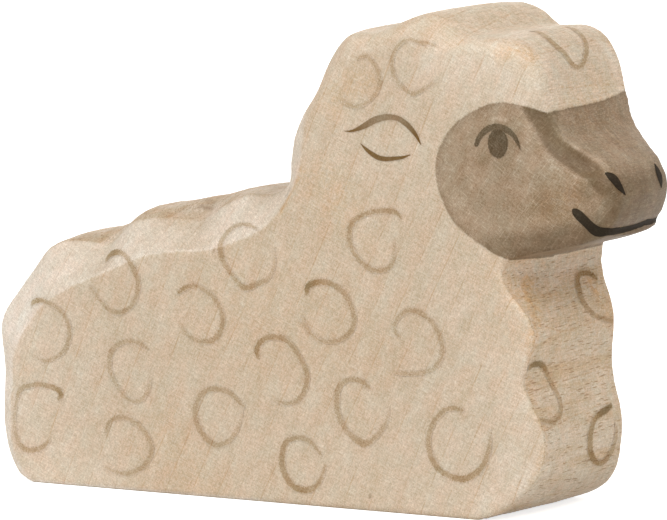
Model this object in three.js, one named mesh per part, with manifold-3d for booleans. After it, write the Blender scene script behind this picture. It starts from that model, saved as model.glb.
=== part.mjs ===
// A lying lamb sawn from one maple board, with pared edges, a tapered muzzle and thin coats of paint.
// Millimetres. +X points to the nose, +Z is up, the board's thickness runs along Y.
// The right flank faces -Y. The figure stands on its flat sawn base at Z = 0.
import * as THREE from "three";
import Module from "manifold-3d";

const wasm = await Module();
wasm.setup();

// Driving sizes
const BODY_LENGTH = 90.8; // rump to nose
const BODY_HEIGHT = 64.8; // base to the top of the head
const BOARD_THICKNESS = 24; // planed board

// How deep each pared edge cuts into the board's thickness
const CHEST_CUT = 0.6;
const JAW_CUT = 6;
const NOSE_CUT = 5.7;
const BRIDGE_CUT = 4;
const HEAD_CUT = 2;
const BACK_CUT = 4;
const RUMP_CUT = 2.4;
const BASE_CUT = 0.3;

// Coats of paint: a first coat on the wood, a second coat over the face glaze
const COAT_GAP = 0.08;
const COAT_THICKNESS = 0.15;

// Brush strokes, full width
const CURL_STROKE = 0.85;
const EAR_STROKE = 0.85;
const LID_STROKE = 0.6;
const NOSTRIL_STROKE = 0.75;
const MOUTH_STROKE = 0.8;
const CURL_STEPS = 12;
const SHORT_STEPS = 10;
const PUPIL_STEPS = 20;
const LOWER_EAR_SHARE = 0.75; // of the upper ear stroke's width
const HAND_SHIFT = 0.7; // how far a curl strays on the left flank
const HAND_TURN = 18; // degrees

// The muzzle is pared narrower in front of the cheeks, along a parabola seen from above
const CHEEK_X = 30;
const MUZZLE_PARING = 35;

// Directions in which the muzzle and the forehead are painted: how far round from the right flank
// towards the nose, and how far up
const MUZZLE_TURN = THREE.MathUtils.degToRad(30);
const FRONT_TURN = Math.PI / 2;
const BROW_LIFT = THREE.MathUtils.degToRad(40);

// The side view below is drawn at this size, and stretched to the driving sizes
const DRAWN_LENGTH = 90.8;
const DRAWN_HEIGHT = 64.8;
const DRAWN_THICKNESS = 24;
const STATION_STEP = 1.5;
const BASE_STEPS = 10;
const CROWN_POWER = 2.4;
const BAND_PLACES = [-1, -0.6, -0.2, 0.2, 0.6, 1];
const PARED_PLACES = [0.3, 0.7, 1];
const CHEEK_PLACES = [0.25, 0.5, 0.75, 1];

const stretchX = BODY_LENGTH / DRAWN_LENGTH;
const stretchZ = BODY_HEIGHT / DRAWN_HEIGHT;
const stretchY = BOARD_THICKNESS / DRAWN_THICKNESS;
const halfBoard = BOARD_THICKNESS / 2;

// The side view, from the base's front corner up over the chest, nose, head and back to the rump.
// Each row: edge x, edge z, foot x, foot z, share of the cut, crown, and on the muzzle the cheek's x, z.
// The edge is the silhouette at mid thickness, the foot is where the pared edge meets the flank,
// and the crown is how far the edge falls back from mid thickness to its side.
const sections = [
  {
    // chest
    cut: CHEST_CUT,
    swell: 0.12,
    skew: 0.4,
    rows: [
      [26.0, 0.0, 25.9, 0.4, 0.6, 0.0],
      [29.1, 0.7, 28.7, 1.2, 0.8, 0.1],
      [31.8, 2.3, 31.2, 2.8, 1.0, 0.1],
      [33.4, 4.6, 32.6, 4.9, 1.0, 0.2],
      [34.0, 7.6, 33.2, 7.7, 1.1, 0.2],
      [34.2, 10.3, 33.4, 10.2, 1.1, 0.2],
      [33.8, 13.0, 33.0, 12.7, 1.1, 0.2],
      [32.9, 15.6, 32.1, 15.4, 1.0, 0.1],
      [32.5, 18.6, 31.7, 18.6, 1.0, 0.1],
      [32.7, 21.6, 31.9, 21.8, 1.0, 0.1],
      [32.9, 24.2, 32.1, 24.2, 1.1, 0.2],
      [32.3, 26.8, 31.5, 26.5, 1.1, 0.2],
      [31.3, 29.0, 30.5, 28.7, 1.0, 0.1],
      [30.9, 31.2, 30.1, 31.0, 1.0, 0.1],
      [31.2, 33.3, 29.3, 34.0, 1.0, 0.1],
    ],
  },
  {
    // underside of the jaw
    cut: JAW_CUT,
    swell: 0.25,
    skew: 0,
    rows: [
      [31.9, 33.9, 27.8, 35.7, 0.15, 0.2],
      [34.2, 34.6, 31.2, 37.7, 0.28, 0.2, 28.6, 38.4],
      [38.0, 35.4, 35.8, 38.6, 0.52, 0.3, 29.2, 39.6],
      [40.2, 36.0, 38.4, 39.2, 0.75, 0.4, 29.5, 40.6],
      [42.0, 36.6, 39.8, 39.9, 0.92, 0.6, 29.7, 41.5],
    ],
  },
  {
    // nose
    cut: NOSE_CUT,
    swell: 0.6,
    skew: 0,
    rows: [
      [41.6, 37.2, 40.4, 40.7, 0.98, 0.4, 29.8, 42.2],
      [42.7, 38.5, 41.0, 41.4, 1.0, 0.5, 29.9, 43.0],
      [43.4, 40.1, 41.3, 42.1, 1.0, 0.5, 29.9, 43.7],
      [43.8, 41.9, 41.4, 42.8, 1.0, 0.6, 29.9, 44.4],
      [43.5, 43.5, 41.1, 43.5, 1.0, 0.5, 29.9, 45.1],
      [42.8, 45.0, 40.3, 44.1, 1.0, 0.5, 29.9, 45.8],
    ],
  },
  {
    // bridge of the nose, with a hollow pared beside it
    cut: BRIDGE_CUT,
    swell: -0.7,
    skew: 0.6,
    rows: [
      [41.8, 46.1, 39.2, 44.6, 1.38, 0.4, 29.8, 46.6],
      [40.5, 47.0, 38.0, 45.3, 1.22, 0.4, 29.7, 47.5],
      [38.8, 48.2, 36.3, 46.3, 0.95, 0.4, 29.6, 48.5],
      [37.2, 49.5, 34.7, 47.9, 0.72, 0.4, 29.6, 49.6],
      [36.1, 51.0, 33.3, 49.7, 0.55, 0.4, 29.7, 50.8],
      [35.3, 52.7, 32.8, 51.7, 0.4, 0.3, 30.4, 52.2],
    ],
  },
  {
    // forehead and forelock
    cut: HEAD_CUT,
    swell: 0.35,
    skew: 0.5,
    rows: [
      [34.5, 55.0, 32.8, 54.6, 0.7, 0.3],
      [33.9, 57.4, 32.0, 56.9, 0.7, 0.3],
      [32.8, 59.8, 31.1, 58.7, 0.75, 0.4],
      [31.2, 61.4, 29.7, 59.8, 0.75, 0.4],
      [28.6, 62.2, 27.9, 60.4, 0.7, 0.4],
    ],
  },
  {
    // top of the head
    cut: HEAD_CUT,
    swell: 0.35,
    skew: 2.2,
    rows: [
      [25.8, 61.9, 25.4, 60.1, 0.7, 0.3],
      [23.7, 62.1, 23.5, 59.7, 0.9, 0.5],
      [21.8, 63.8, 21.5, 60.0, 1.0, 0.5],
      [18.8, 64.8, 18.5, 61.0, 1.2, 0.4],
      [15.2, 63.7, 15.0, 61.2, 1.15, 0.4],
      [12.6, 62.6, 12.4, 60.6, 1.0, 0.5],
      [10.2, 61.7, 10.2, 59.9, 0.9, 0.5],
      [7.6, 62.0, 8.4, 59.6, 1.0, 0.5],
    ],
  },
  {
    // nape
    cut: HEAD_CUT,
    swell: 0.15,
    skew: 0.4,
    rows: [
      [4.6, 60.8, 6.4, 57.8, 1.1, 0.5],
      [2.5, 57.6, 4.8, 55.4, 1.1, 0.4],
      [1.0, 53.9, 3.1, 53.0, 1.0, 0.4],
      [-0.9, 50.5, 1.4, 50.2, 0.9, 0.3],
      [-2.2, 47.4, 0.4, 46.8, 0.9, 0.3],
      [-2.8, 44.4, -0.1, 43.6, 1.0, 0.3],
    ],
  },
  {
    // back, with wool humps scooped into its pared edge
    cut: BACK_CUT,
    swell: 0.15,
    skew: 0,
    rows: [
      [-3.7, 41.2, -1.2, 40.4, 0.7, 0.2],
      [-6.4, 39.9, -4.2, 36.8, 0.85, 0.2],
      [-10.6, 39.9, -8.8, 34.2, 0.95, 0.5],
      [-14.0, 39.3, -12.6, 32.7, 1.0, 1.4],
      [-17.4, 38.3, -16.4, 32.0, 1.0, 2.8],
      [-20.6, 37.7, -20.0, 31.7, 1.0, 1.9],
      [-24.0, 36.9, -23.4, 31.0, 1.0, 1.4],
      [-27.6, 36.3, -26.6, 29.8, 1.0, 1.3],
      [-31.2, 34.0, -30.4, 28.1, 1.0, 2.4],
      [-34.4, 32.9, -34.0, 26.6, 0.95, 0.9],
      [-37.5, 32.4, -36.9, 25.0, 0.85, 0.5],
    ],
  },
  {
    // rump
    cut: RUMP_CUT,
    swell: 0.15,
    skew: 0,
    rows: [
      [-39.9, 31.0, -38.8, 23.8, 1.25, 0.3],
      [-42.1, 28.2, -40.4, 22.0, 1.2, 0.3],
      [-44.2, 25.4, -41.7, 20.2, 1.1, 0.3],
      [-46.1, 22.8, -42.8, 18.4, 1.0, 0.3],
      [-47.0, 20.5, -43.4, 17.0, 0.95, 0.3],
      [-46.6, 17.7, -43.6, 15.6, 0.85, 0.2],
      [-46.1, 14.8, -43.7, 13.8, 0.75, 0.2],
      [-46.1, 11.4, -43.9, 11.0, 0.65, 0.2],
      [-46.0, 8.0, -44.1, 7.9, 0.6, 0.2],
      [-45.4, 4.9, -43.9, 5.2, 0.55, 0.1],
      [-44.4, 2.5, -43.2, 3.1, 0.45, 0.1],
      [-42.9, 0.8, -42.1, 1.5, 0.3, 0.0],
      [-41.0, 0.0, -40.9, 0.4, 0.14, 0.0],
    ],
  },
];

// Wool curls on the flank and the head's side. Each row: centre x, z, start angle, sweep in degrees,
// counter-clockwise, then the stroke's distance from that centre at equal steps along it.
const flankCurls = [
  [-38.6, 20.3, 115, -225, 4.3, 3.9, 3.6, 3.6, 3.9, 4.2],
  [-28.4, 27.2, 110, -280, 3.3, 3.8, 3.7, 3.8, 3.4, 3.7],
  [-15.1, 24.0, 145, -285, 4.1, 3.4, 3.1, 3.5, 3.7, 3.4],
  [-8.0, 31.9, 75, 285, 3.9, 4.3, 3.7, 3.7, 4.0, 4.0],
  [-39.9, 8.7, 40, 265, 4.3, 4.4, 3.7, 3.6, 4.6, 3.4],
  [-25.9, 15.7, 55, 280, 4.3, 3.9, 3.1, 2.9, 3.9, 3.4],
  [-26.0, 5.9, 150, -280, 3.9, 3.8, 3.2, 3.4, 3.5, 4.4],
  [-12.4, 10.7, 25, 325, 4.0, 3.9, 3.7, 3.5, 3.7, 3.7],
  [-3.0, 17.4, 155, -265, 4.1, 4.5, 3.6, 3.7, 4.4, 3.9],
  [3.9, 25.5, 140, -305, 4.0, 3.8, 3.6, 4.0, 4.0, 4.0],
  [0.2, 5.4, 45, 295, 2.9, 3.5, 3.4, 3.4, 3.4, 3.3],
  [10.5, 35.2, 45, 310, 4.9, 3.7, 3.7, 3.7, 4.1, 3.2],
  [17.0, 22.5, 170, -285, 3.3, 4.4, 3.7, 3.5, 4.2, 4.9],
  [8.7, 12.7, 70, 275, 3.9, 4.4, 3.7, 3.8, 4.2, 3.9],
  [23.1, 9.6, 90, 290, 4.5, 4.8, 4.7, 4.6, 4.4, 4.9],
  [8.7, 55.4, 95, -235, 3.0, 3.1, 2.7, 2.6, 3.2, 3.6],
  [16.1, 57.7, 45, 280, 4.0, 3.4, 3.1, 3.0, 3.4, 3.4],
];

// Wool curls on the chest, as rows like those above with y in place of x
const chestCurls = [
  [-6.8, 16.3, 125, -235, 4.6, 3.9, 3.3, 3.7, 4.2, 3.6],
  [6.3, 9.1, 60, 300, 4.1, 3.4, 3.8, 3.7, 3.4, 3.4],
];

// Strokes drawn freely, as the points that the brush passes. On the chest they are y, z.
const chestHook = [
  [9.2, 29.3],
  [7.3, 30.2],
  [4.9, 30.2],
  [4.0, 29.3],
  [3.8, 27.7],
  [4.5, 26.1],
  [6.1, 24.7],
  [8.4, 23.8],
  [10.4, 23.6],
];

// On the forehead, nose and mouth they are x, y, z on the wood
const forelockStroke = [
  [29.0, -3.7, 62.0],
  [31.3, -3.5, 61.2],
  [32.5, -2.9, 60.0],
  [33.2, -2.3, 58.8],
  [33.7, -1.3, 57.7],
  [33.8, 0.1, 57.6],
  [33.5, 2.1, 58.7],
  [32.7, 3.8, 60.0],
  [31.5, 4.7, 61.2],
  [30.2, 4.3, 61.9],
];
const rightNostril = [
  [41.4, -6.9, 45.0],
  [42.0, -6.6, 44.9],
  [42.6, -6.4, 44.2],
  [43.0, -6.2, 43.4],
  [43.3, -5.6, 42.3],
];
const leftNostril = [
  [42.6, 3.6, 45.1],
  [43.0, 4.0, 44.1],
  [43.4, 4.1, 43.1],
  [43.5, 3.8, 42.3],
];
const mouthRight = [
  [38.4, -9.9, 40.7],
  [39.1, -9.6, 39.7],
  [39.9, -8.8, 38.6],
  [40.3, -8.0, 37.8],
  [40.9, -7.2, 37.5],
  [41.6, -4.4, 37.4],
  [41.7, -0.1, 37.4],
  [41.9, 2.7, 37.6],
];
const mouthLeft = [
  [38.8, 9.8, 40.4],
  [39.4, 9.3, 39.2],
  [40.2, 8.3, 38.4],
  [41.0, 6.9, 38.0],
  [41.7, 5.2, 37.8],
  [41.9, 2.7, 37.6],
  [41.7, -0.1, 37.4],
  [41.6, -2.6, 37.4],
];
const earUpper = [
  [6.2, 48.8],
  [8.3, 49.2],
  [11.0, 50.6],
  [13.4, 50.8],
  [15.6, 49.8],
  [17.3, 47.8],
];
const earLower = [
  [8.5, 47.4],
  [10.4, 46.3],
  [12.4, 45.7],
  [14.3, 45.9],
  [15.9, 46.4],
];
const eyelid = [
  [25.1, 48.0],
  [25.9, 49.5],
  [27.2, 50.7],
  [28.6, 51.1],
  [30.1, 50.6],
  [31.2, 49.4],
  [31.8, 47.8],
];
const pupil = { x: 28.5, z: 48.6, halfWidth: 1.45, halfHeight: 1.95 };

// The glaze's outline on the cheek, seen from the side, and on past the muzzle
const glazeOutline = [
  [34.5, 52.6],
  [32.0, 53.5],
  [28.5, 53.8],
  [25.2, 52.7],
  [22.3, 50.8],
  [20.2, 48.0],
  [19.4, 45.0],
  [20.0, 41.8],
  [22.0, 38.2],
  [25.0, 36.0],
  [28.2, 34.3],
  [30.6, 33.3],
];
const glazeFront = [
  [50, 33.0],
  [50, 53.6],
  [36.6, 53.6],
];

// Rows of all the sections, with each section's own values
function outlineRows() {
  const rows = [];
  for (const section of sections) {
    for (const [x, z, footX, footZ, share, crown, cheekX = footX, cheekZ = footZ] of section.rows) {
      rows.push({
        edge: new THREE.Vector3(x * stretchX, 0, z * stretchZ),
        foot: new THREE.Vector3(footX * stretchX, 0, footZ * stretchZ),
        cheek: new THREE.Vector3((cheekX - footX) * stretchX, 0, (cheekZ - footZ) * stretchZ),
        cut: share * section.cut,
        crown,
        swell: section.swell,
        skew: section.skew,
      });
    }
  }
  return rows;
}

// The stations round the outline at which the body's cross-section is built
function outlineStations() {
  const rows = outlineRows();
  const edgeCurve = new THREE.CatmullRomCurve3(rows.map((row) => row.edge));
  const footCurve = new THREE.CatmullRomCurve3(rows.map((row) => row.foot));
  const stations = [];
  for (let i = 0; i + 1 < rows.length; i++) {
    const [from, to] = [rows[i], rows[i + 1]];
    const steps = Math.max(1, Math.round(from.edge.distanceTo(to.edge) / STATION_STEP));
    for (let k = 0; k < steps; k++) {
      const place = (i + k / steps) / (rows.length - 1);
      stations.push(stationBetween(from, to, k / steps, edgeCurve.getPoint(place), footCurve.getPoint(place)));
    }
  }
  const [front, rear] = [rows[0], rows[rows.length - 1]];
  for (let k = 0; k < BASE_STEPS; k++) {
    stations.push(baseStation(rear, front, k / BASE_STEPS));
  }
  return stations;
}

function stationBetween(from, to, share, edge, foot) {
  const mixed = (name) => THREE.MathUtils.lerp(from[name], to[name], share);
  edge.z = Math.max(0, edge.z);
  return {
    edge,
    foot,
    cheek: from.cheek.clone().lerp(to.cheek, share),
    cut: mixed("cut"),
    crown: mixed("crown"),
    swell: mixed("swell"),
    skew: mixed("skew"),
  };
}

function baseStation(rear, front, share) {
  return {
    edge: rear.edge.clone().lerp(front.edge, share),
    foot: rear.foot.clone().lerp(front.foot, share),
    cheek: new THREE.Vector3(),
    cut: THREE.MathUtils.lerp(rear.cut, BASE_CUT, Math.min(1, share * BASE_STEPS)),
    crown: 0,
    swell: 0.05,
    skew: 0,
  };
}

// Half the thickness of the head at x: the whole board at the cheeks, pared away towards the nose
function halfThickness(x) {
  const ahead = Math.max(0, x / stretchX - CHEEK_X);
  return halfBoard - (ahead * ahead) / MUZZLE_PARING;
}

// The cross-section at a station, from the left cheek over the edge to the right cheek
function crossSection(station) {
  const { edge, foot, cheek, cut, crown, swell, skew } = station;
  const inward = foot.clone().sub(edge).normalize();
  const bandHalf = halfBoard - cut;
  const skewed = (x, y, z) => new THREE.Vector3(x + (skew * y) / halfBoard, y, z);
  const band = BAND_PLACES.map((place) => {
    const at = edge.clone().addScaledVector(inward, crown * Math.abs(place) ** CROWN_POWER);
    return skewed(at.x, place * bandHalf, at.z);
  });
  const corner = edge.clone().addScaledVector(inward, crown);
  const right = [];
  for (const place of PARED_PLACES) {
    const at = corner.clone().lerp(foot, place);
    const depth = THREE.MathUtils.lerp(bandHalf, halfThickness(foot.x), place);
    right.push([at.x, depth + swell * Math.sin(Math.PI * place), at.z]);
  }
  for (const place of CHEEK_PLACES) {
    const at = foot.clone().addScaledVector(cheek, place);
    right.push([at.x, halfThickness(at.x), at.z]);
  }
  return [
    ...right.map(([x, depth, z]) => skewed(x, depth, z)).reverse(),
    ...band.reverse(),
    ...right.map(([x, depth, z]) => skewed(x, -depth, z)),
  ];
}

// The body's surface as an indexed geometry: cross-sections joined in a loop, and a flank on each side
function bodyGeometry() {
  const rings = outlineStations().map(crossSection);
  const places = [];
  const known = new Map();
  const indexOf = (point) => {
    const key = point.toArray().map((value) => value.toFixed(4)).join();
    if (!known.has(key)) {
      known.set(key, places.length);
      places.push(point);
    }
    return known.get(key);
  };
  const grid = rings.map((ring) => ring.map(indexOf));
  const index = [];
  const addFace = (a, b, c) => {
    if (a !== b && b !== c && c !== a) index.push(a, b, c);
  };
  grid.forEach((ring, i) => {
    const next = grid[(i + 1) % grid.length];
    for (let k = 0; k + 1 < ring.length; k++) {
      addFace(ring[k], next[k], next[k + 1]);
      addFace(ring[k], next[k + 1], ring[k + 1]);
    }
  });
  for (const [end, turned] of [[0, false], [grid[0].length - 1, true]]) {
    const rim = grid.map((ring) => ring[end]);
    const outline = rim.map((at) => new THREE.Vector2(places[at].x, places[at].z));
    for (const [a, b, c] of THREE.ShapeUtils.triangulateShape(outline, [])) {
      if (turned) addFace(rim[a], rim[b], rim[c]);
      else addFace(rim[a], rim[c], rim[b]);
    }
  }
  const geometry = new THREE.BufferGeometry().setFromPoints(places);
  geometry.setIndex(index);
  geometry.computeVertexNormals();
  return geometry;
}

// The body's surface moved outwards by a distance, as a solid
function bodySolid(surface, distance) {
  const position = surface.getAttribute("position");
  const normal = surface.getAttribute("normal");
  const vertProperties = new Float32Array(position.count * 3);
  for (let i = 0; i < position.count; i++) {
    const at = new THREE.Vector3().fromBufferAttribute(position, i);
    at.addScaledVector(new THREE.Vector3().fromBufferAttribute(normal, i), distance);
    vertProperties.set(at.toArray(), i * 3);
  }
  const triVerts = new Uint32Array(surface.getIndex().array);
  return new wasm.Manifold(new wasm.Mesh({ numProp: 3, vertProperties, triVerts }));
}

// A thin coat that lies on the body, its underside at a height above the wood
function coatShell(surface, height) {
  return bodySolid(surface, height + COAT_THICKNESS).subtract(bodySolid(surface, height));
}

// A direction in which an outline is drawn: u to the painter's right, up, and out to the painter
function brushDirection(turn, lift) {
  const level = new THREE.Vector3(Math.sin(turn), -Math.cos(turn), 0);
  return {
    u: new THREE.Vector3(Math.cos(turn), Math.sin(turn), 0),
    up: new THREE.Vector3(0, 0, Math.cos(lift)).addScaledVector(level, -Math.sin(lift)),
    out: new THREE.Vector3(0, 0, Math.sin(lift)).addScaledVector(level, Math.cos(lift)),
  };
}

const fromRight = brushDirection(0, 0);
const fromRightOfMuzzle = brushDirection(MUZZLE_TURN, 0);
const fromFront = brushDirection(FRONT_TURN, 0);
const fromBrow = brushDirection(FRONT_TURN, BROW_LIFT);
const fromLeftOfMuzzle = brushDirection(Math.PI - MUZZLE_TURN, 0);

// Points x, y, z on the wood, as seen from a direction
function seenFrom(direction, points) {
  return points.map(([x, y, z]) => {
    const at = new THREE.Vector3(x * stretchX, y * stretchY, z * stretchZ);
    return [at.dot(direction.u), at.dot(direction.up)];
  });
}

const seenFromRight = (points) => seenFrom(fromRight, points.map(([x, z]) => [x, 0, z]));
const seenFromFront = (points) => seenFrom(fromFront, points.map(([y, z]) => [0, y, z]));

// A closed geometry as a solid: only positions are kept, and shared corners become one
function solidFrom(geometry) {
  const flat = geometry.index ? geometry.toNonIndexed() : geometry;
  const position = flat.getAttribute("position");
  const known = new Map();
  const vertProperties = [];
  const triVerts = [];
  for (let i = 0; i < position.count; i++) {
    const at = [position.getX(i), position.getY(i), position.getZ(i)];
    const key = at.map((value) => value.toFixed(4)).join();
    if (!known.has(key)) {
      known.set(key, vertProperties.length / 3);
      vertProperties.push(...at);
    }
    triVerts.push(known.get(key));
  }
  const mesh = new wasm.Mesh({
    numProp: 3,
    vertProperties: new Float32Array(vertProperties),
    triVerts: new Uint32Array(triVerts),
  });
  return new wasm.Manifold(mesh);
}

// A column over an outline, from a start distance outwards
function column(outline, direction, start, length) {
  const shape = new THREE.Shape(outline.map(([u, z]) => new THREE.Vector2(u, z)));
  const geometry = new THREE.ExtrudeGeometry(shape, { depth: length, bevelEnabled: false });
  geometry.applyMatrix4(new THREE.Matrix4().makeBasis(direction.u, direction.up, direction.out));
  geometry.translate(...direction.out.clone().multiplyScalar(start).toArray());
  return solidFrom(geometry);
}

// How wide a stroke is along its length, as a share of its full width
const curlInk = (t) => Math.min(1, 0.55 + 6 * t) * (1 - 0.45 * t);
const leafInk = (t) => 0.25 + 0.75 * Math.sin(Math.PI * Math.min(1, 0.08 + 0.92 * t)) ** 0.8;
const lidInk = (t) => Math.min(1, 0.75 + 2 * t) * (1 - 0.5 * t * t);
const dropInk = (t) => Math.min(1, 0.7 + 2.5 * t) * (1 - 0.55 * t);
const mouthInk = (t) => 1 - 0.5 * Math.min(1, t * 1.4);

// The outline of a brush stroke along a smooth path, pointed at both ends
function strokeOutline(path, width, ink, steps) {
  const curve = new THREE.CatmullRomCurve3(path.map(([u, z]) => new THREE.Vector3(u, z, 0)));
  const near = [];
  const far = [];
  for (let i = 0; i <= steps; i++) {
    const t = i / steps;
    const at = curve.getPointAt(t);
    if (i === 0 || i === steps) {
      near.push([at.x, at.y]);
      continue;
    }
    const along = curve.getTangentAt(t);
    const half = (width * ink(t)) / 2;
    near.push([at.x - along.y * half, at.y + along.x * half]);
    far.unshift([at.x + along.y * half, at.y - along.x * half]);
  }
  return [...near, ...far];
}

// The points of a curl, worked out from its row
function curlPath([centre, z, start, sweep, ...reach]) {
  return reach.map((distance, i) => {
    const angle = THREE.MathUtils.degToRad(start + (sweep * i) / (reach.length - 1));
    return [centre + distance * Math.cos(angle), z + distance * Math.sin(angle)];
  });
}

// The left flank's curls were painted by the same hand, so they shift and turn a little
function leftHandRow([x, z, start, sweep, ...reach], i) {
  const shiftX = HAND_SHIFT * Math.sin(2.1 * i + 1);
  const shiftZ = HAND_SHIFT * Math.cos(3.3 * i);
  const turn = HAND_TURN * Math.sin(1.7 * i + 2);
  return [x + shiftX, z + shiftZ, start + turn, sweep, ...reach.slice().reverse()];
}

// Materials
const paints = {
  maple: { color: 0xceb99f, roughness: 0.6 },
  glaze: { color: 0xa58f75, roughness: 0.55 },
  curlBrown: { color: 0xa8946f, roughness: 0.6 },
  earBrown: { color: 0x6b5532, roughness: 0.55 },
  dark: { color: 0x3a352a, roughness: 0.5 },
};
const material = (name) => new THREE.MeshStandardMaterial({ ...paints[name], metalness: 0, name });

const figure = new THREE.Group();

function addMesh(name, geometry, paint) {
  const mesh = new THREE.Mesh(geometry, material(paint));
  mesh.name = name;
  figure.add(mesh);
}

function addSolid(name, solid, paint) {
  const { vertProperties, triVerts } = solid.getMesh();
  const geometry = new THREE.BufferGeometry();
  geometry.setAttribute("position", new THREE.BufferAttribute(vertProperties, 3));
  geometry.setIndex(new THREE.BufferAttribute(triVerts, 1));
  geometry.computeVertexNormals();
  addMesh(name, geometry, paint);
}

// The wood
const surface = bodyGeometry();
surface.computeBoundingBox();
addMesh("wooden_body", surface, "maple");

// The first coat lies on the wood, and the second over the glaze
const firstCoat = coatShell(surface, COAT_GAP);
const secondCoat = coatShell(surface, 3 * COAT_GAP + COAT_THICKNESS);

// Columns start inside the wood and reach past it
const { max } = surface.boundingBox;
const reach = 2 * max.x;
const underChest = max.x / 2;
const insideMuzzle = 0.4 * max.x;
const insideBrow = 0.75 * max.z;

function addStroke(name, coat, outline, direction, start, paint) {
  addSolid(name, coat.intersect(column(outline, direction, start, reach)), paint);
}

// The face glaze goes round the muzzle, so its column runs through the whole thickness
const glazeSeen = seenFromRight([...glazeOutline, ...glazeFront]);
addSolid("face_glaze", firstCoat.intersect(column(glazeSeen, fromRight, -reach, 2 * reach)), "glaze");

// Strokes on one flank, drawn as seen from the right and turned over for the left flank
const mirrored = (solid) => {
  const { vertProperties, triVerts } = solid.getMesh();
  for (let i = 1; i < vertProperties.length; i += 3) vertProperties[i] *= -1;
  for (let i = 0; i < triVerts.length; i += 3) {
    [triVerts[i], triVerts[i + 1]] = [triVerts[i + 1], triVerts[i]];
  }
  return new wasm.Manifold(new wasm.Mesh({ numProp: 3, vertProperties, triVerts }));
};

function addFlankStroke(name, side, coat, outline, paint) {
  const rightColumn = column(outline, fromRight, 0, reach);
  addSolid(name, coat.intersect(side === "left" ? mirrored(rightColumn) : rightColumn), paint);
}

const twoDigits = (number) => String(number).padStart(2, "0");
const pupilPoints = new THREE.EllipseCurve(0, 0, pupil.halfWidth, pupil.halfHeight)
  .getPoints(PUPIL_STEPS)
  .slice(1)
  .map(({ x, y }) => [pupil.x + x, pupil.z + y]);

for (const side of ["right", "left"]) {
  const rows = side === "right" ? flankCurls : flankCurls.map(leftHandRow);
  rows.forEach((row, i) => {
    const outline = strokeOutline(seenFromRight(curlPath(row)), CURL_STROKE, curlInk, CURL_STEPS);
    addFlankStroke(`${side}_curl_${twoDigits(i + 1)}`, side, firstCoat, outline, "curlBrown");
  });
  const upper = strokeOutline(seenFromRight(earUpper), EAR_STROKE, leafInk, SHORT_STEPS);
  const lower = strokeOutline(seenFromRight(earLower), EAR_STROKE * LOWER_EAR_SHARE, leafInk, SHORT_STEPS);
  const lid = strokeOutline(seenFromRight(eyelid), LID_STROKE, lidInk, SHORT_STEPS);
  addFlankStroke(`${side}_ear_upper`, side, firstCoat, upper, "earBrown");
  addFlankStroke(`${side}_ear_lower`, side, firstCoat, lower, "earBrown");
  addFlankStroke(`${side}_eyelid`, side, secondCoat, lid, "dark");
  addFlankStroke(`${side}_pupil`, side, secondCoat, seenFromRight(pupilPoints), "dark");
}

// Strokes on the chest and the forehead
const chestPaths = [chestHook, ...chestCurls.map(curlPath)];
chestPaths.forEach((path, i) => {
  const outline = strokeOutline(seenFromFront(path), CURL_STROKE, curlInk, CURL_STEPS);
  addStroke(`chest_curl_${twoDigits(i + 1)}`, firstCoat, outline, fromFront, underChest, "curlBrown");
});
const forelock = strokeOutline(seenFrom(fromBrow, forelockStroke), CURL_STROKE, curlInk, CURL_STEPS);
addStroke("forelock_curl", firstCoat, forelock, fromBrow, insideBrow, "curlBrown");

// Nostrils, and the mouth, which is one stroke that goes round the muzzle
const nostrilOutline = (direction, points) =>
  strokeOutline(seenFrom(direction, points), NOSTRIL_STROKE, dropInk, SHORT_STEPS);
const rightDrop = nostrilOutline(fromRightOfMuzzle, rightNostril);
const leftDrop = nostrilOutline(fromFront, leftNostril);
addStroke("right_nostril", secondCoat, rightDrop, fromRightOfMuzzle, insideMuzzle, "dark");
addStroke("left_nostril", secondCoat, leftDrop, fromFront, insideMuzzle, "dark");

const mouthColumn = (direction, points) => {
  const outline = strokeOutline(seenFrom(direction, points), MOUTH_STROKE, mouthInk, CURL_STEPS);
  return column(outline, direction, insideMuzzle, reach);
};
const mouth = mouthColumn(fromRightOfMuzzle, mouthRight).add(mouthColumn(fromLeftOfMuzzle, mouthLeft));
addSolid("mouth_line", secondCoat.intersect(mouth), "dark");

// The origin is under the middle of the figure
const whole = new THREE.Box3().setFromObject(figure);
figure.position.x = -(whole.min.x + whole.max.x) / 2;

export default figure;
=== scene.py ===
# Looks of a lying lamb carved from one maple board: sanded wood, a thin face glaze and brush strokes.
# Lengths are in millimetres and places in the photograph in pixels, unless a comment says otherwise.
import math

import bmesh
import bpy
import numpy as np
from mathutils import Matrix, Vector, noise
from mathutils.bvhtree import BVHTree


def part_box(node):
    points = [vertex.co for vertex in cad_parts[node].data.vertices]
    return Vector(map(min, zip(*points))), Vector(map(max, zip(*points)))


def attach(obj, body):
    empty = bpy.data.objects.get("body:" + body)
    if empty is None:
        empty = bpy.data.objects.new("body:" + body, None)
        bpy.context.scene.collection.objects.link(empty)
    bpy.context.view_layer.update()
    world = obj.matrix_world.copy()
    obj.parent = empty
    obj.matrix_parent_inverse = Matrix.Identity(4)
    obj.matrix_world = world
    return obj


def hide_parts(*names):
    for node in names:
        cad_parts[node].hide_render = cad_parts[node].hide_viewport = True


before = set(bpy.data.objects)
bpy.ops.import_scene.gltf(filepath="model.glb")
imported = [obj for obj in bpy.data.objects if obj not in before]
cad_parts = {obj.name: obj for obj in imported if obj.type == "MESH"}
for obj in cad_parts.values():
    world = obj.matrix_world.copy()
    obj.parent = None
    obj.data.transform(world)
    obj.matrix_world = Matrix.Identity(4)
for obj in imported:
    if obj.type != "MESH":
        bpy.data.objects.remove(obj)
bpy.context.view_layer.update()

MM = 0.001

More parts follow.
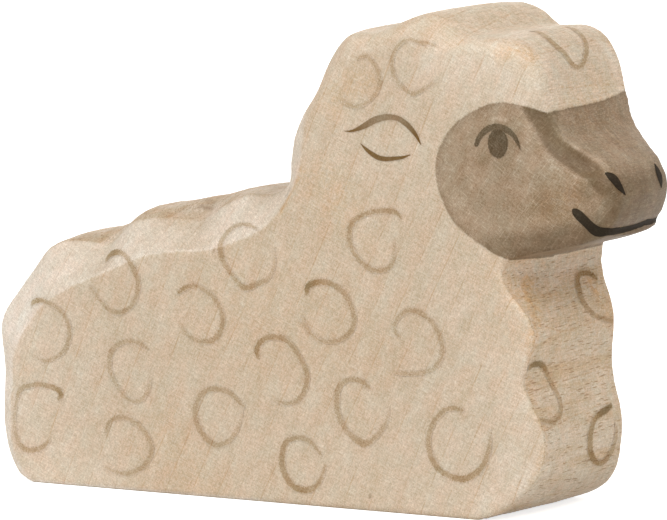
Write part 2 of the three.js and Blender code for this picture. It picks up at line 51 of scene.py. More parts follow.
# Camera, fitted to the photograph
IMAGE_WIDTH = 667  # px
IMAGE_HEIGHT = 520
FOCAL_LENGTH = 9000
SENSOR_WIDTH = 36  # mm
CAMERA_AZIMUTH = 29.3  # degrees, from the right flank round towards the nose
CAMERA_ELEVATION = 7.2
CAMERA_DISTANCE = 1167.9
CAMERA_TARGET = (-0.70, 0, 30.45)
CAMERA_CLIP = (0.1, 100)  # m

# Lamps: name, azimuth and elevation in degrees, distance and diameter in metres, watts
LAMPS = [
    ("key", -28, 46, 1.2, 0.9, 7.3),
    ("fill", 70, 44, 1.4, 1, 9.6),
    ("back", 205, 10, 1.4, 0.8, 4.5),
]
WORLD_LIGHT = 0.36
FLOOR_REACH = 30  # m
FLOOR_GREY = (0.8, 0.8, 0.79)
FLOOR_GLOW = 0.75  # seen by the camera only


def look_from(azimuth, elevation):
    """The direction towards a viewer, at angles in degrees."""
    a, e = math.radians(azimuth), math.radians(elevation)
    return Vector((math.sin(a) * math.cos(e), -math.cos(a) * math.cos(e), math.sin(e)))


SIGHT_BACK = look_from(CAMERA_AZIMUTH, CAMERA_ELEVATION)
SIGHT_RIGHT = look_from(CAMERA_AZIMUTH + 90, 0)
SIGHT_UP = SIGHT_BACK.cross(SIGHT_RIGHT)
CAMERA_SPOT = (Vector(CAMERA_TARGET) + SIGHT_BACK * CAMERA_DISTANCE) * MM
PIXELS_PER_MM = FOCAL_LENGTH / CAMERA_DISTANCE

# The carved surface
HALF_BOARD = 12
VOXEL = 0.33
EDGE_SMOOTHING = 2  # rounds in which each point moves towards its neighbours
SMOOTHING_SHARE = 0.5  # of the way
RUBBED_AREA = 7.5  # mm², over which the head's edges are rubbed rounder
RUBBED_LEVEL = 50
TOOL_MARK = 0.05  # depth of the marks that paring and sanding left
TOOL_MARK_SPREAD = 5
CORNER_FILL = 0.6  # how far the chest's near corner stands out past its pared edge
CORNER_SIDE = 10.8  # how far from the board's middle the filling starts
CHEST_TOP = 34

# How far the right front edge is moved forward at each height: z, forward
FRONT_EDGE = [
    (0, -1.2), (2.4, -1), (3.4, -0.6), (4.5, -0.2), (5.5, 0.3), (6.5, 0.9), (8.3, 1.1), (10.8, 1.2),
    (13.7, 0.9), (15.3, 0.3), (17.8, -0.4), (19.8, 0), (22.3, 0.7), (23.9, 1), (26.4, 0.6), (28.5, -0.4),
    (30, -1.4), (32, -2), (33.5, -1.4), (35.5, 0), (52, 0), (54, 1), (58, 1.2), (61, 0.8), (64, 0),
]

# Coats: how far they lie over the wood, and reach past their paint's edge
GLAZE_LIFT = 0.015
STROKE_LIFT = 0.05
PUPIL_LIFT = 0.06
GLAZE_MARGIN = 0.45
STROKE_MARGIN = 0.16

# Brush strokes
CURVE_STEPS = 12  # between two given points
SEEN_STEP = 1.5  # px between the points of a stroke
LINE_STEP = 2  # px between those of other lines
STROKE_COLUMNS = 11
LINE_SMOOTHING = 2  # points each way
WIDTH_SMOOTHING = 3
LEAST_FACING = 0.4  # where a stroke is seen edge-on
FULL_WIDTH = 6.2  # px, at which the brush gives all its ink
FULL_INK = 0.77
LEAST_INK = 0.05  # of the full ink
CHEST_INK = 1.2  # times as much on the chest and the forehead
FAINT_CURLS = (6, 7, 8, 13, 14)  # painted with a drier brush
FAINT_INK = 0.85
START_BLOT = 0.55  # more ink where the brush is set down
BLOT_REACH = 11  # px
PUPIL_RINGS = 10
PUPIL_SPOKES = 48
PUPIL_DROP = 0.05
PUPIL_INK = 0.92

# How far a curl turns on the left flank, in degrees, and how the turn swings from curl to curl
HAND_TURN = 18
HAND_STEP = 1.7
HAND_START = 2

# Colours, linear. From LATEWOOD on they are multiplied with what they lie on
MAPLE_WARM = (0.632, 0.493, 0.363)
MAPLE_COOL = (0.596, 0.497, 0.371)
LATEWOOD = (0.84, 0.70, 0.56)
FLECK = (0.58, 0.45, 0.32)
# Stains orange, and in places paints shade
STAIN_AND_SHADE = (0.96, 0.76, 0.53)
# Lightens the lighter places, and paints light on the faces to the front
PALER_AND_PAINTED_LIGHT = (1.20, 1.24, 1.32)
BAND = (0.90, 0.83, 0.72)
# Darkens smudges and specks, and paints shade on the head's top
MARK_AND_SHADE = (0.55, 0.47, 0.38)
END_GRAIN = (0.74, 0.68, 0.60)
GLAZE = (0.42, 0.348, 0.258)
# Darker glaze where it pooled, and painted shade in the face's hollows, under the jaw and on faces turned
# from the flank
GLAZE_POOL_AND_SHADE = (0.49, 0.445, 0.36)
CURL_BROWN = (0.53, 0.43, 0.27)
CURL_BLOT = (0.40, 0.35, 0.25)
EAR_BROWN = (0.24, 0.15, 0.03)
DARK = (0.30, 0.29, 0.25)
BLACK = (0.12, 0.12, 0.11)

# How strongly the grain's light and dark shows in red, green and blue
SPECKLE = (0.9, 1.03, 1.25)
GRAIN_TINT = (0.72, 1.13, 1.66)

# Grain
FIBRE_LEAN = math.radians(24)  # forwards as it rises
RING_SPACING = 3.6
GRAIN_FADE = (36, 46)  # heights over which the chest's bands and dashes fade upwards
SCRATCH_LEAN = math.radians(40)
GLAZE_BRUSH = ((52, 2.5), (-38, 3.5))  # the brush marks' lean in degrees, and length

# Strokes on the right flank and the head's side, from where the brush was set down: x, y and width, px
RIGHT_CURLS = [
    [(32, 306, 2), (33, 302, 4.5), (38, 300.5, 5.2), (43, 300.5, 5), (48, 302.5, 3.8), (55, 306.5, 3.2),
     (63, 313, 3.4), (67.5, 321, 3.8), (69.5, 331, 4.3), (69, 340, 4.3), (65, 349, 3.8), (58, 356.5, 3.6),
     (48, 360.5, 3.6), (40, 359.5, 2.8), (33, 356, 1.2)],
    [(107.4, 260, 3), (109.5, 255.5, 4.6), (114, 253, 6), (118.5, 252.4, 5.6), (123, 253.8, 4.4),
     (127.5, 258, 4.2), (131.5, 265, 5), (135.8, 274, 4.4), (138.2, 283, 4.2), (137, 294, 4.2),
     (132.8, 304, 4), (126.4, 310, 4.2), (117.5, 312.5, 4.2), (108.8, 309, 3.8), (102.8, 303.5, 3.2),
     (97.2, 297, 2.4), (91, 287, 1.2)],
    [(178.4, 292.6, 3), (183.6, 288.6, 4.2), (188.6, 286.2, 4), (194, 285.5, 3.8), (201, 287.8, 3.6),
     (208.6, 292.8, 3.6), (215.6, 300, 3.6), (221, 310, 4), (222.8, 319.5, 4.5), (221.3, 329, 4.4),
     (217, 336.5, 5), (211.5, 340.8, 5), (204.6, 341.6, 4.2), (196.6, 340, 3.6), (189.6, 336, 3),
     (185, 331.5, 2), (180.5, 325.5, 1)],
    [(257.5, 229.2, 1.8), (251, 225.8, 3.4), (244.8, 224.2, 3.8), (237.4, 225.4, 3.6), (230.4, 229.6, 4.2),
     (224.4, 236.4, 4), (220.8, 244, 4.8), (220.6, 253, 4.8), (224, 262.5, 4.2), (229.4, 271.5, 3.8),
     (235.4, 279.5, 3.6), (240.6, 285.3, 4.6), (245.2, 288, 5.8), (250.6, 286.8, 5.6), (258.4, 283.3, 4.8),
     (266.6, 280, 4), (271, 274.6, 3), (274, 266, 2.4), (274.6, 257, 2), (273.6, 248, 1)],
    [(58.6, 399.6, 3), (61, 393.6, 5.4), (55.4, 387.8, 5), (48, 386, 4.6), (39, 384.2, 4.6),
     (31, 385.4, 4.6), (23, 387.4, 4.4), (18.6, 393, 3.8), (16, 403.8, 3), (14.4, 415.8, 2.9),
     (15, 427.8, 3.2), (17.4, 438.8, 3.6), (21, 445.5, 4.4), (25, 449.2, 5.2), (31, 450.4, 5.2),
     (39, 448.8, 5), (44.8, 445.4, 4.4), (50, 440.4, 2)],
    [(148.2, 348.8, 2), (142, 344, 3), (134.8, 341.4, 3.4), (127.8, 340.8, 3.6), (119.8, 343.6, 4),
     (112.8, 349, 4.6), (109.6, 356.8, 4.6), (109.6, 366, 4.2), (111.4, 375, 3.6), (115.8, 384, 3.2),
     (122.4, 393.6, 3.1), (128.8, 399.6, 3.2), (135.8, 401.8, 3.6), (142.6, 398.9, 3.6), (147.6, 391.8, 3.2),
     (149.8, 385, 2.4), (150.4, 379, 1)],
    [(106.4, 431.6, 2), (107.6, 425.8, 3.6), (111.4, 420.2, 4.2), (116.6, 417.6, 4.2), (122.6, 416.8, 4),
     (130.6, 419.6, 4), (138.6, 424.8, 4), (145.6, 432.8, 4), (150.2, 441.8, 4.1), (151.6, 449.8, 4.2),
     (149.6, 457.8, 4.5), (143.6, 465.8, 4.6), (135.6, 471, 4.6), (126.6, 473.4, 4.2), (118.4, 472.2, 3.8),
     (110.6, 469.8, 2.6), (103.6, 466.8, 1)],
    [(244, 406.6, 2.4), (238.4, 400.6, 3.8), (231.4, 394, 4), (223.4, 390, 4.5), (213.4, 388.6, 5.2),
     (205.4, 391, 5), (198.6, 399, 4.6), (195.4, 409.8, 4.5), (196.2, 420, 4.5), (200.2, 430, 5),
     (206, 438, 5.4), (212.2, 443.4, 5.4), (219.4, 445, 5), (227.4, 441.8, 4.6), (233.6, 435.6, 3.6),
     (238.4, 427.8, 2.6), (241.4, 418, 1.6), (243, 411, 0.8)],
    [(258, 357.5, 3), (256.8, 351.5, 5), (258, 345, 5.2), (262.8, 340, 5.2), (270, 337, 5.2),
     (278, 336.8, 5), (286, 340.2, 4.4), (293, 347, 3.8), (299, 356, 4), (304, 365, 4.5), (307, 373.4, 4.8),
     (307, 382, 4.8), (304, 391.6, 4.5), (300, 397.8, 4.2), (294, 402, 3.8), (288, 403.4, 3.6),
     (281.6, 402.4, 3), (275, 400, 1.2)],
    [(306.8, 293, 3.6), (307.6, 287, 6), (312, 283.4, 6.2), (320, 281.8, 5.8), (328, 282.4, 5),
     (335.8, 286.2, 5), (342.6, 291.2, 4.6), (347.8, 298.6, 4), (352.2, 308, 4.1), (354.4, 317.4, 4.5),
     (353.4, 326, 4.5), (349.6, 333.2, 4.6), (342.8, 338.2, 4), (334.8, 341.4, 3.6), (325.8, 341.4, 3.2),
     (317.6, 338.8, 3), (310.8, 332.8, 2.6), (305.8, 326, 2.4), (302.6, 318, 1.2)],
    [(321, 454.6, 2), (315.6, 447, 3.2), (309.4, 441, 3.6), (300.6, 437.8, 4.2), (291, 438.8, 5),
     (285, 444, 5.2), (282.4, 453, 5.2), (282, 462, 5.5), (284, 471.4, 5.5), (288, 480, 5.6),
     (294.6, 487, 6), (303.6, 490, 6.4), (311.6, 488.8, 5.6), (318.6, 483, 4.5), (322.6, 475, 3.2),
     (325, 466, 2)],
    [(400.6, 217.4, 2.6), (397, 212.6, 4.4), (388.4, 210.8, 4.8), (380.4, 211, 4.5), (370.4, 212.4, 4.5),
     (360.4, 216, 4.2), (353.4, 221, 4.4), (350, 227.4, 5), (349.2, 236, 4.2), (350.8, 245, 4),
     (354.4, 253.4, 4.1), (360.4, 261.2, 4.4), (366.4, 266.6, 4.5), (373.4, 270, 4.6), (380.4, 270.6, 4.5),
     (388.4, 268, 4.4), (392.6, 263, 3.4), (394, 254.6, 2.4), (394.4, 246.6, 1.8), (393.4, 240, 0.8)],
    [(399.2, 336.4, 2.6), (395.6, 331.8, 3.6), (394.2, 326.4, 3.4), (397, 319.6, 3.6), (403, 313, 4.2),
     (410, 309.9, 5), (418, 311.6, 5), (426, 316.6, 4.8), (433, 323.8, 4.2), (438.2, 332, 4),
     (441.6, 341.8, 4.4), (442, 350.8, 4.6), (440, 359.8, 4.2), (434.4, 367.6, 4), (426, 371.8, 4),
     (416, 373.4, 3.8), (406, 373.6, 3.8), (398.6, 373.2, 3), (394, 372, 1)],
    [(370.4, 388.6, 2.4), (365.8, 383.8, 4), (359.8, 380.4, 4.6), (351.8, 379.2, 4.6), (344, 381.8, 4.2),
     (338.8, 388, 5), (337, 397, 5), (336.8, 406, 5), (338.6, 415, 4.5), (342.8, 425, 4.5),
     (349.6, 434, 4.6), (357, 440, 5.4), (365, 443.8, 6.8), (372.2, 439.8, 5.4), (379.8, 432.6, 4.5),
     (384.8, 424.6, 3.4), (387.8, 414.8, 2), (388.6, 408, 0.8)],
    [(463, 410.2, 2.6), (455.4, 408.2, 4.2), (447.4, 408.9, 4), (440.4, 413.6, 4.5), (434.4, 420.8, 4.5),
     (430.4, 429.8, 4.4), (428.4, 438.8, 4.4), (428.8, 446.8, 4.5), (431, 456, 5), (435.4, 464.8, 5.2),
     (442.2, 472, 5.6), (449, 475.4, 5), (455.6, 478, 6.2), (463.4, 479, 6.4), (471.4, 476, 6),
     (479.4, 469.8, 5.6), (485.4, 460.8, 5), (488.4, 450.8, 4), (490, 440.8, 2.8), (490.2, 431, 1)],
    [(357.4, 59.4, 1.2), (362.4, 55.8, 2.6), (366.6, 56.2, 3), (370.6, 59, 3.4), (375.6, 66.8, 3),
     (379.4, 74.8, 3.1), (380, 82, 3.2), (377.4, 90.8, 3), (371.4, 98.8, 3), (364.4, 103.9, 3),
     (356.4, 106.8, 3.6), (349.2, 105.2, 3.4), (341.6, 100.8, 1.6)],
    [(435, 44.6, 1.2), (428, 43, 3), (420, 42.6, 3), (415, 40.2, 2.6), (409, 39.2, 2.6), (402, 42, 3),
     (396, 48.8, 3.1), (392.4, 57, 3.4), (392.2, 66, 3.5), (394, 75, 3.1), (399, 83.4, 3), (405, 89.4, 3.4),
     (412.6, 93.8, 4.4), (419, 92, 3.5), (425, 88, 3), (431, 84, 2), (435, 79, 0.8)],
]

# Strokes on the chest and the forehead
FRONT_CURLS = {
    "chest_curl_01": [
        (596.6, 278.4, 2.6), (591.8, 274.6, 4.6), (586.6, 273, 5), (580.8, 273.6, 4.8), (577.4, 277, 5),
        (577.8, 285, 5.2), (579.8, 294, 4.6), (583.8, 303, 4.4), (589, 310.2, 4.2), (595, 315.2, 4),
        (602, 318.2, 4), (608, 320, 3.8), (612.6, 321, 3.6),
    ],
    "chest_curl_02": [
        (528.8, 368, 3), (532.6, 364.6, 5), (538.4, 363.6, 6), (543.4, 366, 5.4), (546.8, 373, 3.8),
        (550.6, 382, 3.2), (555, 390.4, 3.2), (559, 398, 3.4), (561, 405, 3.6), (560.6, 412, 3.6),
        (557.8, 418.6, 3.8), (553, 421.4, 4.4), (547, 421.4, 4.4), (542, 420.2, 4), (538, 419.4, 2.4),
    ],
    "chest_curl_03": [
        (611, 405.6, 4), (605.4, 410, 6.6), (600.2, 413.4, 6), (595.4, 418.4, 4.6), (592.4, 425.4, 4.6),
        (590.4, 433.4, 5), (589.8, 441, 5.1), (589.8, 449, 5.5), (591.6, 456.4, 6), (595.4, 461.8, 6),
        (600, 463.2, 5.6), (605.4, 460, 4.6), (610.4, 453, 3.8), (614, 444, 3.5), (615.8, 436, 3.1),
        (616, 429.6, 2.4), (615, 424, 1),
    ],
    "forelock_curl": [
        (531, 31.2, 1.4), (538, 32, 2.4), (544.6, 36, 3), (551, 41.4, 4.2), (556, 46.2, 4.2), (562, 51, 4),
        (566, 56, 3.8), (570, 62, 4.4), (574, 66, 4.4), (578, 67.4, 4.4), (581.8, 65, 4.4),
        (584.4, 59.8, 4.2), (586.2, 52, 4.2), (586, 44.8, 4.2), (583.2, 38, 3.6), (579, 33, 3.2),
        (573.6, 29.2, 3), (569, 27.6, 2.6),
    ],
}

# The face's and ears' crisp strokes
EAR_UPPER = [
    (344.6, 131, 0.6), (351, 131.2, 2), (358, 129, 4), (366, 125, 6), (374, 120.4, 6.8), (383, 117.6, 6.6),
    (391, 117, 5.6), (398, 118.4, 5.2), (404, 122, 5.4), (410, 127.4, 5), (416, 135, 3.6), (421, 144.4, 0.8),
]
EAR_LOWER = [
    (361, 143.8, 0.6), (365, 148, 2.6), (371, 153.2, 4.4), (379, 157.8, 5), (387, 159, 4.6), (395, 158.4, 4),
    (403, 157.4, 3), (410.4, 154.8, 0.8),
]
EYELID = [
    (476.4, 144.8, 4.2), (479.7, 137, 5.3), (485.3, 130.6, 6), (491.9, 127.6, 6.6), (499.7, 127.6, 7.6),
    (506.9, 130, 6.4), (512.5, 134.2, 4.9), (516.6, 140.1, 3.8), (519.5, 147, 2.2), (520.8, 149.8, 0.8),
]
RIGHT_NOSTRIL = [
    (607.4, 174.2, 4.2), (609.8, 175.8, 7), (613.8, 179, 8.4), (617.8, 184.2, 7.6), (621.4, 189.4, 5),
    (625.2, 195, 0.8),
]
LEFT_NOSTRIL = [(655.2, 165.6, 2), (657.4, 170.4, 4.8), (659.4, 176.4, 5.4), (660.6, 182, 4), (661, 187, 1)]
MOUTH_SEEN = [
    (575, 211.4, 7), (577.8, 214, 9.2), (582, 218.2, 9.4), (586.4, 222.4, 9), (590.6, 226.6, 9.4),
    (595, 230.2, 10.2), (600.4, 232.2, 9.8), (607.6, 231.8, 8), (616, 230.6, 6.8), (626, 228.8, 6),
    (635, 226.2, 5.4), (643, 223.2, 4.6), (650, 220.2, 4),
]
MOUTH_CUT_BACK = 3  # seen points left out at its end, where the wood turns away
MOUTH_STEP = 0.2

# The mouth goes on out of sight on the left, as x, y, z in millimetres and a width in pixels
MOUTH_HIDDEN = [(42.2, 7, 38, 6), (41.5, 8.4, 38.3, 8), (40.8, 9.3, 39.2, 8), (40.2, 9.8, 40.6, 6.5)]

# The glaze's rim from the bridge of the nose round the cheek to the jaw, and then its outline past the
# muzzle, as x, z in millimetres
GLAZE_RIM = [
    (36, 52.6), (33.5, 53.5), (30, 53.8), (26.7, 52.7), (23.8, 50.8), (21.7, 48), (20.9, 45),
    (21.5, 41.8), (23.5, 38.2), (26.5, 36), (29.7, 34.3), (32.1, 33.3),
]
GLAZE_FRONT = [(52, 33), (52, 53.6), (38.1, 53.4)]
GLAZE_RISE = 1.1  # how much higher the glaze reaches at the left of the forehead
RIM_STEP = 0.3
DEPTH_KEPT = 5  # how far from the rim the distance to it is kept

# Where the glaze pooled, and painted shade in the hollow by the nose's bridge and on the jaw's chamfer that
# faces down. Each row: a line in pixels, its reach, its share and how soft its edge is
POOLED_AND_SHADE = [
    ([(533, 106), (537, 112), (547, 128), (557, 146), (575, 161), (590, 172)], 1.35, 1, 0.6),
    ([(590, 172), (598, 180), (604, 187)], 1, 0.7, 0.6),
    ([(529, 108), (536, 113), (541, 118)], 0.4, 0.5, 0.3),
    ([(492, 247), (520, 246), (550, 240), (575, 236), (592, 237), (604, 235)], 1.5, 0.6, 1.4),
    ([(565, 112), (600, 125), (622, 146)], 3, 0.14, 2),
    ([(548, 205), (576, 193)], 1.4, 0.3, 1.8),
    ([(541, 117), (554, 111), (570, 106), (593, 101), (609, 99), (624, 95)], 0.45, 0.45, 0.4),
]

# Where the glaze wore off, and a painted highlight along the nose's crest where its edge catches the light.
# Each row, here and below: a line in pixels, its reach and its share
WORN_AND_HIGHLIGHT = [
    ([(551, 116), (557, 130), (566, 141), (577, 148)], 0.4, 0.8),
    ([(577, 148), (595, 158), (609, 169)], 0.35, 0.35),
    ([(597, 198), (600, 206), (603, 215)], 0.5, 0.6),
    ([(492, 120), (499, 117.5), (505, 120)], 0.3, 0.7),
    ([(446, 135), (447, 180), (462, 210), (480, 226)], 2, 0.3),
    ([(618, 150), (632, 164)], 1.2, 0.35),
]

# Where the flank is lighter, where the faces to the front carry painted light, and where it is stained orange
PALE = [
    ([(12, 320), (15, 400), (32, 478)], 8, 0.13),
    ([(40, 480), (120, 488)], 4, 0.09),
    ([(512, 270), (524, 300), (522, 340), (516, 380), (526, 430), (520, 480), (490, 512)], 4.5, 0.13),
    ([(452, 58), (480, 62), (535, 90)], 5.5, 0.15),
    ([(345, 54), (325, 90)], 3, 0.06),
]
# Painted light: it lifts the shade under the jaw on the chest, and lights the forehead
PAINTED_LIGHT_FRONT = [
    ([(520, 262), (600, 274)], 3, 0.24),
    ([(545, 66), (552, 98)], 1.8, 0.14),
]
# Orange stains; along the pared back's end at the neck and in the hollow under the jaw the darkening is
# partly painted shade
STAINED_AND_SHADE = [
    ([(527, 288), (536, 316), (533, 345)], 1.1, 0.55),
    ([(528, 378), (534, 408), (546, 437), (542, 460), (532, 486)], 0.7, 0.45),
    ([(510, 268), (512, 282), (522, 296), (532, 306)], 2.2, 0.25),
    ([(530, 275), (600, 285)], 6, 0.36),
    ([(526, 276), (532, 284)], 0.3, 0.6),
    ([(535, 340), (600, 350)], 8, 0.2),
    ([(503, 52), (520, 50), (533, 56)], 1.5, 0.6),
    ([(335, 104), (352, 84), (366, 80)], 2.6, 0.45),
    ([(165, 440), (190, 480)], 5, 0.28),
    ([(172, 216), (184, 219)], 1, 0.6),
    ([(240, 300), (330, 335)], 11, 0.22),
    ([(325, 185), (342, 205)], 4, 0.4),
    ([(550, 205), (575, 195)], 2, 0.5),
    ([(580, 115), (610, 140)], 5, 0.45),
    ([(301, 170), (292, 190), (281, 212)], 0.5, 0.7),
]

# Darker smudges and specks in the bare wood, and painted shade on the flat of the head's top before the
# forelock
MARKED_AND_SHADE = [
    ([(201, 206), (212, 209)], 0.5, 0.7),
    ([(206, 200), (214, 204)], 0.5, 0.35),
    ([(376, 28), (396, 25)], 0.4, 0.5),
    ([(535, 29), (550, 31)], 1.2, 0.22),
    ([(370, 496), (370.5, 497)], 0.22, 1),
    ([(214, 250), (214.5, 251)], 0.2, 0.9),
    ([(290, 189), (286, 196)], 0.3, 0.5),
]

# Where the pared back ends against the neck
NECK_EDGE = [(262, 232), (276, 214), (288, 196), (296, 180), (301, 165)]


# Meshes
def read_rows(items, name, width, kind=np.float32):
    found = np.empty(len(items) * width, kind)
    items.foreach_get(name, found)
    return found.reshape(-1, width)


def mesh_points(mesh):
    return read_rows(mesh.vertices, "co", 3).astype(float) / MM


def set_points(mesh, points):
    mesh.vertices.foreach_set("co", (points * MM).astype(np.float32).ravel())
    mesh.update()


def set_field(mesh, name, values):
    """A number at each point, for the materials to read."""
    made = mesh.attributes.get(name) or mesh.attributes.new(name, "FLOAT", "POINT")
    made.data.foreach_set("value", np.asarray(values, np.float32))


def relaxed(values, edges, rounds):
    """Values at the vertices, each drawn towards its neighbours' mean."""
    count = len(values)
    ends, others = edges.T.ravel(), edges[:, ::-1].T.ravel()
    degree = np.bincount(ends, minlength=count).astype(float)[:, None]
    for _ in range(rounds):
        sums = [np.bincount(ends, column[others], count) for column in values.T]
        values = values + SMOOTHING_SHARE * (np.stack(sums, axis=1) / degree - values)
    return values


def grown(values, start, reach):
    """0 up to a start, 1 past its reach, and a straight rise between."""
    return np.clip((values - start) / reach, 0, 1)


def add_to_scene(name, data):
    made = bpy.data.objects.new(name, data)
    bpy.context.scene.collection.objects.link(made)
    return made


def new_piece(name, mesh, material):
    """A shown piece that rides on the figure's one body."""
    for polygon in mesh.polygons:
        polygon.use_smooth = True
    mesh.materials.clear()
    mesh.materials.append(material)
    piece = add_to_scene(name, mesh)
    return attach(piece, "root")


# Nodes
def is_linked(value):
    return isinstance(value, bpy.types.NodeSocket)


def fill(made, inputs):
    """A node's inputs linked or set."""
    for key, value in inputs.items():
        if is_linked(value):
            made.id_data.links.new(value, made.inputs[key])
        else:
            made.inputs[key].default_value = value


def node(kind, inputs=(), tree=None, **settings):
    """A shader node, in a given tree or in the one that its links come from."""
    inputs = dict(inputs)
    tree = tree or next(value.id_data for value in inputs.values() if is_linked(value))
    made = tree.nodes.new("ShaderNode" + kind)
    for name, value in settings.items():
        setattr(made, name, value)
    fill(made, inputs)
    return made


def calc(operation, *values, clamp=False):
    return node("Math", enumerate(values), operation=operation, use_clamp=clamp).outputs[0]


def times(value, factor, clamp=False):
    return calc("MULTIPLY", value, factor, clamp=clamp)


def times_plus(value, factor, added):
    return calc("MULTIPLY_ADD", value, factor, added)


def ramp(value, low, high, to_low=0, to_high=1):
    """A smooth step of a value from low to high."""
    inputs = {"Value": value, "From Min": low, "From Max": high, "To Min": to_low, "To Max": to_high}
    return node("MapRange", inputs, interpolation_type="SMOOTHSTEP").outputs[0]


# A Mix node's sockets for colours
MIX_SHARE, MIX_UNDER, MIX_OVER, MIX_RESULT = 0, 6, 7, 2


def blend(share, under, over, mode="MIX"):
    """Colours mixed or multiplied by a share."""
    under, over = ((*colour, 1) if isinstance(colour, tuple) else colour for colour in (under, over))
    inputs = {MIX_SHARE: share, MIX_UNDER: under, MIX_OVER: over}
    return node("Mix", inputs, data_type="RGBA", blend_type=mode).outputs[MIX_RESULT]


def darken(share, colour, factor):
    return blend(share, colour, factor, "MULTIPLY")


def scaled(vector, scale):
    return node("Mapping", {"Vector": vector, "Scale": scale}, vector_type="POINT").outputs[0]


def leaned(vector, angle):
    turn = {"Vector": vector, "Angle": angle}
    return node("VectorRotate", turn, rotation_type="Y_AXIS").outputs[0]


def axes(vector):
    return node("SeparateXYZ", {0: vector}).outputs


def noise_at(vector, size, detail=2, roughness=0.5):
    """Noise from 0 to 1 with features of a size, or with a size along each axis."""
    if isinstance(size, tuple):
        vector = scaled(vector, tuple(1 / length for length in size))
        size = 1
    inputs = {"Vector": vector, "Scale": 1 / size, "Detail": detail, "Roughness": roughness}
    return node("TexNoise", inputs).outputs["Fac"]


def swung(value):
    """A noise value that swings round 0."""
    return calc("SUBTRACT", value, 0.5)


def field(tree, name):
    return node("Attribute", tree=tree, attribute_name=name).outputs["Fac"]


def place_in_mm(tree):
    return scaled(node("TexCoord", tree=tree).outputs["Object"], (1 / MM, 1 / MM, 1 / MM))


def dimmed(colour, factor):
    """A colour times a number."""
    return node("VectorMath", {0: colour, "Scale": factor}, operation="SCALE").outputs[0]


def tinted(colour, value, reach, tint):
    """A colour made darker and lighter by a noise, in each channel by its own amount."""
    reaches = tuple(reach * share for share in tint)
    lows = tuple(1 - span / 2 for span in reaches)
    factor = node("VectorMath", {0: value, 1: reaches, 2: lows}, operation="MULTIPLY_ADD")
    return node("VectorMath", {0: colour, 1: factor.outputs[0]}, operation="MULTIPLY").outputs[0]


# Wood
def mottled(place, fibre):
    """Fine warm and cool mottling, softer clouds along the fibre, and a hatch."""
    hue = noise_at(scaled(fibre, (1, 1, 0.6)), 2)
    colour = blend(ramp(hue, 0.30, 0.70), MAPLE_COOL, MAPLE_WARM)
    speck = noise_at(scaled(fibre, (1, 1, 0.75)), 0.17, 2, 0.8)
    cloud = noise_at(scaled(fibre, (1, 1, 0.45)), 2.4, 3, 0.6)
    wide = noise_at(place, 14, 1)
    colour = tinted(colour, speck, 1, SPECKLE)
    colour = tinted(colour, cloud, 0.3, GRAIN_TINT)
    colour = tinted(colour, wide, 0.14, GRAIN_TINT)
    for sizes, reach in (((0.15, 0.5, 1.8), 0.32), ((1.5, 0.5, 0.15), 0.42)):
        hatch = noise_at(fibre, sizes, 1)
        colour = tinted(colour, hatch, reach, GRAIN_TINT)
    return colour


def streaked(colour, fibre, off_flank, up):
    """Streaks and bands along the fibre, off the flank."""
    streak = noise_at(fibre, (0.22, 2.6, 0.2), 2, 0.6)
    streak = times(swung(streak), off_flank)
    colour = dimmed(colour, times_plus(streak, 0.5, 1))
    band = ramp(noise_at(fibre, (2.2, 22, 1.5), 3, 0.6), 0.42, 0.72)
    band = times(band, ramp(up, *GRAIN_FADE, 1, 0.1))
    return darken(times(band, off_flank), colour, BAND)


def ringed(tree, colour, fibre):
    """Growth rings: faint lines a few millimetres apart, with a slow darkening before each."""
    wander = noise_at(scaled(fibre, (1, 0.5, 0.25)), 16, 1)
    across = times_plus(wander, 7, axes(fibre)["X"])
    ring = calc("FRACT", calc("DIVIDE", across, RING_SPACING))
    slow = times(ramp(ring, 0.3, 1), 0.12)
    line = times(ramp(ring, 0.92, 0.97), ramp(ring, 0.97, 1, 1, 0))
    broken = ramp(noise_at(scaled(fibre, (1, 1, 0.3)), 1.3, 3, 0.7), 0.36, 0.62)
    line = times(line, times(broken, 0.8))
    line = times(line, ramp(field(tree, "glaze_depth"), -1, 0.5, 1, 0.15))
    return darken(calc("MAXIMUM", slow, line), colour, LATEWOOD)


def ray_dashes(fibre):
    """Rays run through the board's thickness, so off the flank they show as short dashes."""
    cells = {"Vector": scaled(fibre, (1 / 0.22, 1 / 2.2, 1 / 0.22)), "Scale": 1}
    cells = node("TexVoronoi", cells, feature="F1").outputs
    chance = node("SeparateColor", {0: cells["Color"]}).outputs[0]
    dash = ramp(cells["Distance"], 0.2, 0.42, 1, 0)
    return times(dash, ramp(chance, 0.4, 0.8))


def stained_and_shaded(tree, colour, place, fibre):
    """Orange patches, stains, paler places and dark specks, with painted shade and painted light where their
    tables put them.
    """
    patch = ramp(noise_at(scaled(fibre, (1, 1, 0.5)), 9, 4, 0.65), 0.55, 0.75)
    colour = darken(times(patch, 0.12), colour, STAIN_AND_SHADE)
    ragged = ramp(noise_at(place, 0.8, 3, 0.7), 0.3, 0.65)
    # Stains, partly painted shade at the neck's edge and under the jaw
    colour = darken(times(field(tree, "stained_and_shaded"), ragged), colour, STAIN_AND_SHADE)
    # Lighter places, with painted light on the chest under the jaw and on the forehead
    colour = darken(times(field(tree, "pale_and_painted_light"), 4), colour, PALER_AND_PAINTED_LIGHT)
    # Dark smudges and specks, and painted shade on the head's top
    return darken(field(tree, "marked_and_shaded"), colour, MARK_AND_SHADE)


def worked(tree, colour, place, facing_up):
    """The pale scratched faces that were pared, and the back's darker end grain."""
    scratch = noise_at(leaned(place, SCRATCH_LEAN), (0.14, 0.5, 1.4))
    grey = {"Color": colour, "Saturation": 0.76, "Value": 1.13}
    grey = node("HueSaturation", grey).outputs[0]
    grey = dimmed(grey, times_plus(swung(scratch), 0.35, 1))
    colour = blend(field(tree, "pared"), colour, grey)
    end = times(ramp(axes(place)["X"], -8, 4, 1, 0), facing_up)
    smudge = ramp(noise_at(place, 3.5, 4, 0.65), 0.35, 0.7, 0.6, 1)
    return darken(times(end, smudge), colour, END_GRAIN)


